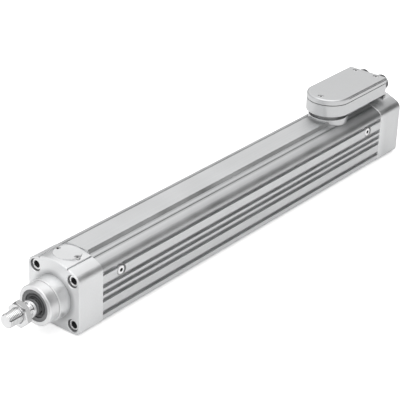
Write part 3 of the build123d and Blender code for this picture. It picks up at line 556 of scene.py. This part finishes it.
# %% Recipe for a finish
def finish(name, color, rough, metal, marks, size, contrast, relief, coat=0.0):
    """Makes a material from a colour, a roughness and one kind of surface marks."""
    material = bpy.data.materials.new(name)
    material.use_nodes = True
    tree = material.node_tree
    shader = tree.nodes["Principled BSDF"]
    shader.inputs["Metallic"].default_value = metal
    shader.inputs["Coat Weight"].default_value = coat
    shader.inputs["Coat Roughness"].default_value = 0.12
    mark = node_of(tree, "ShaderNodeGroup", node_tree=mark_groups[marks])
    mark.inputs[0].default_value = size
    clouds = node_of(tree, "ShaderNodeGroup", node_tree=slow_clouds)
    tone = node_of(tree, "ShaderNodeValToRGB")
    darker, lighter = tone.color_ramp.elements[0], tone.color_ramp.elements[1]
    darker.position = noise_low
    darker.color = shifted(color, 1 - contrast)
    lighter.position = noise_high
    lighter.color = shifted(color, 1 + contrast)
    marked = math_of(tree, "MULTIPLY", mark.outputs["Mask"], marks_share)
    clouded = math_of(tree, "MULTIPLY", clouds.outputs["Mask"], 1 - marks_share)
    tree.links.new(math_of(tree, "ADD", marked, clouded), tone.inputs["Fac"])
    tree.links.new(tone.outputs["Color"], shader.inputs["Base Color"])
    gloss = node_of(tree, "ShaderNodeMapRange")
    gloss.inputs["From Min"].default_value = noise_low
    gloss.inputs["From Max"].default_value = noise_high
    gloss.inputs["To Min"].default_value = rough * (1 - gloss_spread)
    gloss.inputs["To Max"].default_value = min(1.0, rough * (1 + gloss_spread))
    tree.links.new(clouds.outputs["Mask"], gloss.inputs["Value"])
    tree.links.new(gloss.outputs["Result"], shader.inputs["Roughness"])
    bump = node_of(tree, "ShaderNodeBump")
    bump.inputs["Strength"].default_value = relief
    bump.inputs["Distance"].default_value = bump_depth
    tree.links.new(mark.outputs["Mask"], bump.inputs["Height"])
    tree.links.new(bump.outputs["Normal"], shader.inputs["Normal"])
    return material


print("finish recipe ready")

# %% [markdown]
# The outside is nearly all aluminium, but not the same aluminium. The barrel is extruded and
# anodised, the caps are milled and a shade whiter, and the collar and nose show lathe rings. The
# rod is ground steel and mirrors more of the room than the rest. Each row gives colour, roughness,
# metallic, the kind of marks with their number per metre, contrast and relief.

# %% Finishes of the outside
finishes = {
    "barrel_anodised": finish("anodised barrel", (0.72, 0.725, 0.73), 0.49, 1.0, "drawn", 2500, 0.04, 0.05),
    "cap_machined": finish("milled caps", (0.83, 0.835, 0.84), 0.47, 1.0, "grain", 2600, 0.03, 0.04),
    "carrier_machined": finish("turned nose", (0.85, 0.85, 0.855), 0.46, 1.0, "turned", 3800, 0.05, 0.05),
    "rod_polished": finish("ground rod", (0.80, 0.80, 0.805), 0.05, 1.0, "turned", 6000, 0.04, 0.002),
    "nut_polished": finish("bright nut", (0.78, 0.78, 0.785), 0.20, 1.0, "grain", 1800, 0.06, 0.04),
    "screw_zinc": finish("zinc screws", (0.80, 0.80, 0.805), 0.24, 1.0, "grain", 1500, 0.06, 0.05),
    "screw_black": finish("black screws", (0.55, 0.55, 0.555), 0.34, 0.9, "grain", 2400, 0.2, 0.08),
    # A lighter copy of the zinc finish: a painted highlight for the side screws.
    "screw_bright": finish("bright side screws", (0.93, 0.93, 0.935), 0.30, 1.0, "grain", 1500, 0.04, 0.05),
    "wiper_rubber": finish("wiper rubber", (0.19, 0.19, 0.195), 0.5, 0.0, "turned", 3000, 0.15, 0.15),
    "box_paint": finish("grey box paint", (0.65, 0.655, 0.66), 0.34, 0.8, "grain", 1400, 0.03, 0.12),
    "seal_rubber": finish("seal rubber", (0.015, 0.015, 0.015), 0.6, 0.0, "grain", 2200, 0.2, 0.2),
    "connector_nickel": finish("nickel shell", (0.62, 0.60, 0.57), 0.26, 1.0, "turned", 5200, 0.06, 0.05),
    "coupling_dark": finish("dark coupling", (0.55, 0.55, 0.56), 0.26, 1.0, "grain", 2600, 0.15, 0.1),
    "insert_black": finish("black insert", (0.03, 0.03, 0.032), 0.45, 0.0, "grain", 1800, 0.2, 0.12),
    # Painted shade for the faces inside a screw's socket, where little light reaches.
    "socket_shade": finish("socket painted shade", (0.035, 0.035, 0.037), 0.45, 0.6, "grain", 1800, 0.2, 0.1),
}
print(len(finishes), "outside finishes")

# %% [markdown]
# Now the masks go in. Each one mixes a dark colour into the finish where it is set: painted shade.
# The dark colour replaces the metal's own, which leaves roughness and bump as they were, so a shaded
# spot still looks like the same metal. A mix node has its colour sockets after those for numbers and
# vectors.

# %% Painted shade in the finishes
plain_input = 6
dark_input = 7
color_output = 2


def darken(slot_name, group, dark, amount):
    """Mixes a dark colour into a finish where a group's mask is set."""
    tree = finishes[slot_name].node_tree
    shader = tree.nodes["Principled BSDF"]
    plain = shader.inputs["Base Color"].links[0].from_socket
    mask = node_of(tree, "ShaderNodeGroup", node_tree=group)
    share = math_of(tree, "MULTIPLY", mask.outputs["Mask"], amount)
    mix = node_of(tree, "ShaderNodeMix", data_type="RGBA")
    mix.inputs[dark_input].default_value = dark + (1,)
    tree.links.new(share, mix.inputs[0])
    tree.links.new(plain, mix.inputs[plain_input])
    tree.links.new(mix.outputs[color_output], shader.inputs["Base Color"])


# Each row: a finish, a mask, the dark colour of its painted shade and the shade's strength.
painted_shades = (
    ("barrel_anodised", groove_shade, (0.26, 0.265, 0.27), 0.2),
    ("barrel_anodised", foot_shade, (0.30, 0.305, 0.31), 0.75),
    ("barrel_anodised", box_shade, (0.16, 0.165, 0.17), 0.45),
    ("barrel_anodised", seat_shade, (0.05, 0.05, 0.052), 0.75),
    ("cap_machined", hole_shade, (0.05, 0.05, 0.052), 0.6),
    ("cap_machined", collar_shade, (0.25, 0.255, 0.26), 0.55),
    ("cap_machined", box_shade, (0.30, 0.305, 0.31), 0.2),
    ("cap_machined", rear_shade, (0.55, 0.555, 0.56), 0.45),
    ("carrier_machined", step_shade, (0.10, 0.10, 0.102), 0.35),
    ("wiper_rubber", core_shade, (0.02, 0.02, 0.021), 0.8),
    ("box_paint", layer_shade, (0.045, 0.045, 0.047), 0.95),
    ("box_paint", rim_shade, (0.03, 0.03, 0.031), 0.85),
    ("nut_polished", flat_shade, (0.25, 0.25, 0.25), 0.5),
    ("rod_polished", root_shade, (0.05, 0.05, 0.05), 0.4),
)
for slot_name, group, dark, amount in painted_shades:
    darken(slot_name, group, dark, amount)
print(len(painted_shades), "dull corners mixed in")

# %% [markdown]
# The inside is seen when someone takes the model apart, so it gets the same care: copper winding,
# nickelled magnets, soft iron, green board and the plastics between them. Then every carried solid
# gets the finish that the record names for it.

# %% Finishes of the inside
finishes.update({
    "winding_copper": finish(
        "copper winding", (0.50, 0.20, 0.08), 0.3, 0.9, "turned", 2600, 0.3, 0.5, coat=0.4
    ),
    "iron_plain": finish("soft iron", (0.30, 0.30, 0.31), 0.42, 1.0, "turned", 3600, 0.1, 0.08),
    "liner_fibre": finish("wound fibre liner", (0.07, 0.07, 0.065), 0.35, 0.0, "turned", 1600, 0.25, 0.2),
    "ring_plastic": finish("stator ring plastic", (0.10, 0.10, 0.11), 0.5, 0.0, "grain", 1400, 0.15, 0.15),
    "buffer_rubber": finish("buffer rubber", (0.045, 0.045, 0.045), 0.65, 0.0, "grain", 1500, 0.2, 0.25),
    "bush_bronze": finish("sintered bronze", (0.50, 0.33, 0.15), 0.4, 1.0, "grain", 2600, 0.15, 0.3),
    "board_green": finish("green board", (0.02, 0.13, 0.05), 0.25, 0.0, "grain", 900, 0.2, 0.08, coat=0.5),
    "chip_black": finish("sensor chip", (0.02, 0.02, 0.02), 0.45, 0.0, "grain", 3800, 0.25, 0.15),
    "block_grey": finish("terminal grey", (0.32, 0.33, 0.34), 0.5, 0.0, "grain", 1600, 0.08, 0.12),
    "magnet_nickel": finish("nickelled magnet", (0.60, 0.585, 0.55), 0.2, 1.0, "turned", 2200, 0.06, 0.04),
    "sleeve_stainless": finish(
        "stainless sleeve", (0.58, 0.575, 0.57), 0.24, 1.0, "turned", 7000, 0.08, 0.05
    ),
    "disc_aluminium": finish("turned discs", (0.70, 0.70, 0.71), 0.3, 1.0, "turned", 3400, 0.08, 0.08),
    "band_plastic": finish("sliding bands", (0.22, 0.13, 0.055), 0.5, 0.0, "turned", 1800, 0.15, 0.15),
})
for row in frame["record"]["subparts"]:
    carried = frame["nodes"][row["node"]]
    carried.data.materials.clear()
    carried.data.materials.append(finishes[row["material_slot"]])

# %% [markdown]
# The small turned and threaded pieces are modelled here, because the solids hold only their
# plain shapes. Each one starts upright on the world's middle as a primitive, is shaped in edit
# mode, and is then turned and moved to its seat.


# %% Helpers to start and grow a piece
def start_piece(name, radius, low, high, sides):
    """Adds an upright cylinder between two heights and opens it in edit mode."""
    bpy.ops.object.select_all(action="DESELECT")
    middle_height = (low + high) / 2
    bpy.ops.mesh.primitive_cylinder_add(
        vertices=sides, radius=radius, depth=high - low, location=(0, 0, middle_height)
    )
    piece = bpy.context.object
    piece.name = piece.data.name = name
    bpy.ops.object.transform_apply(location=True, rotation=True, scale=True)
    bpy.ops.object.mode_set(mode="EDIT")
    return piece


def grow(upwards, factor=1.0):
    """Extrudes the selected face along the axis and scales its new end."""
    bpy.ops.mesh.extrude_region_move(TRANSFORM_OT_translate={"value": (0, 0, upwards)})
    bpy.ops.transform.resize(value=(factor, factor, 1))


print("starting helpers ready")

# %% [markdown]
# Faces are chosen by where they lie and which way they look, and not by their numbers, so that the
# steps stay the same when a size changes.

# %% Helpers to choose faces and edges
facing = 0.9
core_size = 0.001
touch = 0.00001
margin = 0.00005


def choose_faces(piece, test):
    """Selects the faces whose middle and normal pass a test."""
    bpy.ops.mesh.select_mode(type="FACE")
    shape = bmesh.from_edit_mesh(piece.data)
    for face in shape.faces:
        face.select_set(bool(test(face.calc_center_median(), face.normal)))
    bmesh.update_edit_mesh(piece.data)


def choose_end(piece, way):
    """Selects the faces that look up for 1, or down for -1."""
    choose_faces(piece, lambda spot, normal: normal.z * way > facing)


def choose_core(piece):
    """Selects the two end faces round the middle, which a bridge then opens to a bore."""
    choose_faces(piece, lambda spot, normal: abs(normal.z) > facing and spot.xy.length < core_size)


def choose_long_edges(piece, low, high):
    """Selects the upright edges that run all the way between two heights."""
    bpy.ops.mesh.select_mode(type="EDGE")
    shape = bmesh.from_edit_mesh(piece.data)
    for edge in shape.edges:
        heights = sorted(point.co.z for point in edge.verts)
        edge.select_set(abs(heights[0] - low) < touch and abs(heights[1] - high) < touch)
    bmesh.update_edit_mesh(piece.data)


print("choosing helpers ready")

# %% [markdown]
# A piece is modelled once and then copied to each of its places, as screws come from one box. Every
# copy has its own mesh, because its turn and place are put into the mesh itself. The joined piece
# then stands unturned on the world's middle, like the solid that it replaces.


# %% Helpers to finish and place a piece
def close_piece(angle=32):
    """Leaves edit mode and smooths the curved faces."""
    bpy.ops.object.mode_set(mode="OBJECT")
    bpy.ops.object.shade_smooth_by_angle(angle=radians(angle))


def dress(piece, slot_name, inside=None):
    """Gives a piece its finish, and painted shade to the faces that lie inside a socket."""
    piece.data.materials.append(finishes[slot_name])
    if inside:
        piece.data.materials.append(finishes["socket_shade"])
        for face in piece.data.polygons:
            if inside(face.center):
                face.material_index = 1


def set_copies(model, name, places, way):
    """Copies a piece to each place, turned to face one way, and joins the copies."""
    copies = []
    for spot in places:
        twin = model.copy()
        twin.data = model.data.copy()
        bpy.context.collection.objects.link(twin)
        twin.rotation_euler = Vector(way).to_track_quat("Z", "Y").to_euler()
        twin.location = spot
        copies.append(twin)
    bpy.ops.object.select_all(action="DESELECT")
    for twin in copies:
        twin.select_set(True)
    bpy.context.view_layer.objects.active = copies[0]
    if len(copies) > 1:
        bpy.ops.object.join()
    group = bpy.context.object
    group.name = group.data.name = name
    bpy.ops.object.transform_apply(location=True, rotation=True, scale=True)
    print(name, "has", len(copies), "copies and", len(group.data.polygons), "faces")
    return group


print("placing helpers ready")

# %% [markdown]
# A thread could be a screw modifier's spiral, but its ends are hard to close. Here a stretch of a
# cylinder is cut into many rings, and each point is pushed in or out by where it stands in the
# spiral. The mesh stays closed, and the ends run out by themselves.

# %% Thread
flank_slope = 7.0
flank_lift = 2.6


def screw_height(spot, pitch, crest, root):
    """Radius of a thread at a spot: crest and root in turn, once round for each pitch."""
    phase = (spot.z / pitch + atan2(spot.y, spot.x) / (2 * pi)) % 1
    rise = min(1.0, max(0.0, flank_lift - abs(phase - 0.5) * flank_slope))
    return root + (crest - root) * rise


def push_to(point, radius):
    """Moves a point straight out or in, to a radius round the upright axis."""
    factor = radius / point.co.xy.length
    point.co.x *= factor
    point.co.y *= factor


print("thread helpers ready")

# %% [markdown]
# The rod is one long turned piece. It grows from the ground middle part both ways: back into the
# thin spindle that carries the magnets, and forward over a small chamfer and a relief into the
# thread. Its ends are read from the solid, so it stays where the solid is.

# %% Piston rod
rod_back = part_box("piston_rod")[0].x
rod_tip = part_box("piston_rod")[1].x
slider_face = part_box("front_guide_disc")[1].x
rod_radius = 0.0060
spindle_radius = 0.0045
shoulder_radius = 0.0055
relief_radius = 0.0043
thread_crest = 0.0050
thread_root = 0.00458
thread_pitch = 0.00125
tip_radius = 0.0042
rod_shoulder = 0.0242
shoulder_chamfer = 0.0005
relief_length = 0.0010
lead_in = 0.0004
thread_start = rod_shoulder + relief_length + lead_in
rod_model = start_piece("rod model", rod_radius, slider_face, rod_shoulder - shoulder_chamfer, 64)
choose_end(rod_model, -1)
bpy.ops.mesh.inset(thickness=rod_radius - spindle_radius)
grow(rod_back - slider_face)
choose_end(rod_model, 1)
grow(shoulder_chamfer, shoulder_radius / rod_radius)
bpy.ops.mesh.inset(thickness=shoulder_radius - relief_radius)
grow(relief_length)
grow(lead_in, thread_crest / relief_radius)
grow(rod_tip - thread_start)
choose_long_edges(rod_model, thread_start, rod_tip)
bpy.ops.mesh.subdivide(number_cuts=283)
close_piece()
for point in rod_model.data.vertices:
    if point.co.z > thread_start - margin:
        wanted = screw_height(point.co, thread_pitch, thread_crest, thread_root)
        push_to(point, min(wanted, tip_radius + rod_tip - point.co.z))
dress(rod_model, "rod_polished")
piston_rod = set_copies(rod_model, "piston_rod_turned", [(0, 0, 0)], (1, 0, 0))
bpy.data.objects.remove(rod_model)
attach(piston_rod, "slider")
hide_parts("piston_rod")

# %% [markdown]
# Hexagons are cut with an upright bar of six sides and a boolean, because a socket's corners would
# be hard to hit by extruding. The bar is removed once the cut is applied.


# %% Hexagon cuts
def hexagon_bar(across_flats, low, high, turned=0.0):
    """Adds an upright hexagon bar between two heights, to cut with."""
    bpy.ops.object.select_all(action="DESELECT")
    bpy.ops.mesh.primitive_cylinder_add(
        vertices=6,
        radius=across_flats / sqrt(3),
        depth=high - low,
        location=(0, 0, (low + high) / 2),
        rotation=(0, 0, turned),
    )
    return bpy.context.object


def cut_with(piece, bar, operation):
    """Applies a boolean cut to a piece and removes the bar."""
    cut = piece.modifiers.new("cut", "BOOLEAN")
    cut.object = bar
    cut.operation = operation
    cut.solver = "EXACT"
    bpy.ops.object.select_all(action="DESELECT")
    bpy.context.view_layer.objects.active = piece
    piece.select_set(True)
    bpy.ops.object.modifier_apply(modifier=cut.name)
    bpy.data.objects.remove(bar)


print("hexagon helpers ready")

# %% [markdown]
# The nut is turned from hexagon bar. The lathe gives it a ring with sloping ends and a sunk bore,
# and the six flats are what is left of the bar. Here the ring is turned first, in the same way, and
# then cut down to the hexagon it came from.

# %% Hexagon nut
nut_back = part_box("rod_nut")[0].x
nut_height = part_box("rod_nut")[1].x - nut_back
nut_flats = 0.016
nut_turn = radians(15)
nut_slope = 0.0010
nut_ring = 0.0094
nut_face = 0.0075
nut_mouth = 0.0056
nut_bore = 0.00505
nut_dish = 0.0006
bar_half = 0.01
nut_model = start_piece("nut model", nut_ring, nut_slope, nut_height - nut_slope, 72)
for up in (1, -1):
    choose_end(nut_model, up)
    grow(up * nut_slope, nut_face / nut_ring)
    bpy.ops.mesh.inset(thickness=nut_face - nut_mouth)
    grow(-up * nut_dish, nut_bore / nut_mouth)
choose_core(nut_model)
bpy.ops.mesh.bridge_edge_loops()
close_piece()
cut_with(nut_model, hexagon_bar(nut_flats, -bar_half, bar_half, nut_turn), "INTERSECT")
bpy.ops.object.shade_smooth_by_angle(angle=radians(20))
dress(nut_model, "nut_polished")
rod_nut = set_copies(nut_model, "rod_nut_turned", [(nut_back, 0, 0)], (1, 0, 0))
bpy.data.objects.remove(nut_model)
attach(rod_nut, "slider")
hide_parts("rod_nut")

# %% [markdown]
# The four screws at each cap's corners carry a thread in their heads, so a bracket can be bolted
# on without loosening the cap. A plain cylinder with a dark dot would do from far off, but here the
# thread catches the light. First come the sizes, all in metres.

# %% Sizes of a cap screw
head_rise = 0.0085
head_radius = 0.0041
rim_bevel = 0.0005
mouth_radius = 0.0028
mouth_depth = 0.0003
bore_radius = 0.0025
bore_depth = 0.0055
shank_radius = 0.0030
head_pitch = 0.0010
head_crest = 0.00285
head_root = 0.00245
key_flats = 0.0040
key_top = head_rise - 0.0050
key_floor = head_rise - 0.0078
# Faces inside the socket, within this radius and below this height, get painted shade.
socket_shade_radius = 0.00292
socket_shade_top = head_rise - 0.0004
bore_top = head_rise - mouth_depth
bore_floor = bore_top - bore_depth
print("head of", round(head_rise * 1000, 1), "mm with a bore of", round(bore_depth * 1000, 1), "mm")

# %% [markdown]
# The head is bevelled at its rim, and its bore grows inwards from a wider mouth. The bore's wall is
# cut into rings for the thread, and a hexagon for the key lies at its bottom.


# %% Model of a cap screw
def cap_screw_model(reach):
    """Models one cap screw with its head on the height zero and a shank of the given reach."""
    screw = start_piece("cap screw model", head_radius, 0, head_rise, 48)
    choose_end(screw, 1)
    bpy.ops.mesh.bevel(offset=rim_bevel, segments=3, affect="EDGES")
    choose_faces(screw, lambda spot, normal: normal.z > facing and spot.z > head_rise - touch)
    bpy.ops.mesh.inset(thickness=head_radius - rim_bevel - mouth_radius)
    grow(-mouth_depth, bore_radius / mouth_radius)
    grow(-bore_depth)
    choose_long_edges(screw, bore_floor, bore_top)
    bpy.ops.mesh.subdivide(number_cuts=43)
    choose_faces(screw, lambda spot, normal: normal.z < -facing and spot.z < touch)
    bpy.ops.mesh.inset(thickness=head_radius - shank_radius)
    grow(-reach)
    close_piece()
    for point in screw.data.vertices:
        in_bore = bore_floor + margin < point.co.z < bore_top - margin
        if in_bore and point.co.xy.length < mouth_radius:
            push_to(point, screw_height(point.co, head_pitch, head_crest, head_root))
    cut_with(screw, hexagon_bar(key_flats, key_floor, key_top), "DIFFERENCE")
    dress(screw, "screw_zinc", lambda spot: spot.xy.length < socket_shade_radius and 0 < spot.z < socket_shade_top)
    return screw


print("cap screw helper ready")

# %% [markdown]
# The heads sit a little below the caps' faces, on the square pattern that the record gives for the
# bolts. The shanks reach as far as the solids' own, which are longer behind.

# %% Screws of the caps
bolts = next(mount for mount in frame["record"]["mounts"] if mount["name"] == "front_bolts")
flange_pitch = bolts["dims"]["spacing_x_mm"] / 1000
front_low, front_high = (corner.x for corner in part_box("front_cap_screws"))
rear_low, rear_high = (corner.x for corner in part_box("rear_cap_screws"))
corners = [(side * flange_pitch / 2, top * flange_pitch / 2) for side in (-1, 1) for top in (-1, 1)]
front_seat = front_high - head_rise
rear_seat = rear_low + head_rise
front_screw = cap_screw_model(front_seat - front_low)
rear_screw = cap_screw_model(rear_high - rear_seat)
front_places = [(front_seat, side, top) for side, top in corners]
rear_places = [(rear_seat, side, top) for side, top in corners]
front_cap_screws = set_copies(
    front_screw, "front_cap_screws_turned", front_places, (1, 0, 0)
)
rear_cap_screws = set_copies(
    rear_screw, "rear_cap_screws_turned", rear_places, (-1, 0, 0)
)
bpy.data.objects.remove(front_screw)
bpy.data.objects.remove(rear_screw)
for group, node in ((front_cap_screws, "front_cap_screws"), (rear_cap_screws, "rear_cap_screws")):
    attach(group, "housing")
    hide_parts(node)

# %% [markdown]
# All other visible screws are of one family: a round head with a bevelled rim, a hexagon socket and
# a plain shank. One function models them from six sizes.

# %% Small socket screws
rim_share = 0.16
tip_share = 0.04
tip_taper = 0.8
bar_rise = 1.2
# Faces inside a socket, within this share of the flats, get painted shade.
socket_shade_share = 0.56


def socket_screw(name, slot_name, head, rise, shank, reach, flats, depth):
    """Models a socket screw whose head stands on the height zero."""
    screw = start_piece(name, head, 0, rise, 40)
    choose_end(screw, 1)
    bpy.ops.mesh.bevel(offset=rise * rim_share, segments=3, affect="EDGES")
    choose_end(screw, -1)
    bpy.ops.mesh.inset(thickness=head - shank)
    grow(-reach * (1 - tip_share))
    grow(-reach * tip_share, tip_taper)
    close_piece()
    cut_with(screw, hexagon_bar(flats, rise - depth, rise * bar_rise), "DIFFERENCE")
    socket_shade_reach = flats * socket_shade_share
    dress(screw, slot_name, lambda spot: spot.xy.length < socket_shade_reach and 0 < spot.z < rise - margin)
    return screw


print("socket screw helper ready")

# %% [markdown]
# Two screws in each flank hold the stator inside the barrel. They shine more than the others in the
# photograph, so their zinc is painted lighter, a painted highlight. Each flank's pair is a piece of its
# own.

# %% Side screws
side_head = 0.0031
side_rise = 0.0019
side_low, side_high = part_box("stator_screws")
side_places = (side_high.x - side_head, side_low.x + side_head)
side_seat = side_high.y - side_rise
side_height = (side_low.z + side_high.z) / 2
side_sizes = {"shank": 0.0015, "reach": 0.0067, "flats": 0.0026, "depth": 0.0013}
side_screw = socket_screw("side screw model", "screw_bright", side_head, side_rise, **side_sizes)
for side, label in ((-1, "right"), (1, "left")):
    spots = [(along, side * side_seat, side_height) for along in side_places]
    half = set_copies(side_screw, f"side_screws_{label}", spots, (0, side, 0))
    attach(half, "housing")
    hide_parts("stator_screws")
bpy.data.objects.remove(side_screw)

# %% [markdown]
# Three screws hold the lid, one in front and two behind, and two hold the flush cover on the front
# cap. Their heights and their places along the axis follow from the solids that they replace.

# %% Lid screws and cover screws
lid_head = 0.0021
lid_rise = 0.0013
lid_side = 0.0094
lid_low, lid_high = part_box("lid_screws")
lid_seat = lid_high.z - lid_rise
lid_rear = lid_low.x + lid_head
lid_places = [(lid_high.x - lid_head, 0, lid_seat)]
lid_places += [(lid_rear, side * lid_side, lid_seat) for side in (-1, 1)]
lid_sizes = {"shank": 0.0011, "reach": 0.0076, "flats": 0.0017, "depth": 0.0009}
lid_screw = socket_screw("lid screw model", "screw_zinc", lid_head, lid_rise, **lid_sizes)
lid_screws = set_copies(lid_screw, "lid_screws_turned", lid_places, (0, 0, 1))
bpy.data.objects.remove(lid_screw)
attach(lid_screws, "housing")
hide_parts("lid_screws")

cover_head = 0.0019
cover_rise = 0.0022
cover_low, cover_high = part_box("cap_cover_screws")
cover_along = (cover_low.x + cover_high.x) / 2
cover_side = cover_high.y - cover_head
cover_places = [(cover_along, side * cover_side, cover_high.z - cover_rise) for side in (-1, 1)]
cover_sizes = {"shank": 0.00125, "reach": 0.0060, "flats": 0.0016, "depth": 0.0012}
cover_screw = socket_screw("cover screw model", "screw_black", cover_head, cover_rise, **cover_sizes)
cover_screws = set_copies(cover_screw, "cover_screws_turned", cover_places, (0, 0, 1))
bpy.data.objects.remove(cover_screw)
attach(cover_screws, "housing")
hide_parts("cap_cover_screws")

# %% [markdown]
# The coupling rings of the connectors are knurled for the fingers. Every second edge of a cylinder
# is pulled in for the teeth, the ends are bevelled, and a bridge opens the bore. Real teeth show in
# the outline, where a bump would not.

# %% Coupling rings
ring_low, ring_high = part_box("coupling_rings")
ring_length = ring_high.x - ring_low.x
ring_height = (ring_low.z + ring_high.z) / 2
ring_side = 0.0082
ring_radius = 0.0065
ring_bevel = 0.0003
ring_wall = 0.0006
ring_taper = 0.95
tooth_taper = 0.955
tooth_sides = 96
knurled = start_piece("knurled ring model", ring_radius, ring_bevel, ring_length - ring_bevel, tooth_sides)
bpy.ops.mesh.select_mode(type="VERT")
teeth = bmesh.from_edit_mesh(knurled.data)
for point in teeth.verts:
    step = round(atan2(point.co.y, point.co.x) / (2 * pi) * tooth_sides)
    point.select_set(step % 2 == 1)
bmesh.update_edit_mesh(knurled.data)
bpy.ops.transform.resize(value=(tooth_taper, tooth_taper, 1))
for up in (1, -1):
    choose_end(knurled, up)
    grow(up * ring_bevel, ring_taper)
    bpy.ops.mesh.inset(thickness=ring_wall)
choose_core(knurled)
bpy.ops.mesh.bridge_edge_loops()
close_piece(angle=25)
dress(knurled, "coupling_dark")
ring_places = [(ring_high.x, side * ring_side, ring_height) for side in (-1, 1)]
coupling = set_copies(knurled, "coupling_rings_knurled", ring_places, (-1, 0, 0))
bpy.data.objects.remove(knurled)
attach(coupling, "housing")
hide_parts("coupling_rings")

# %% End
print("scene ready")
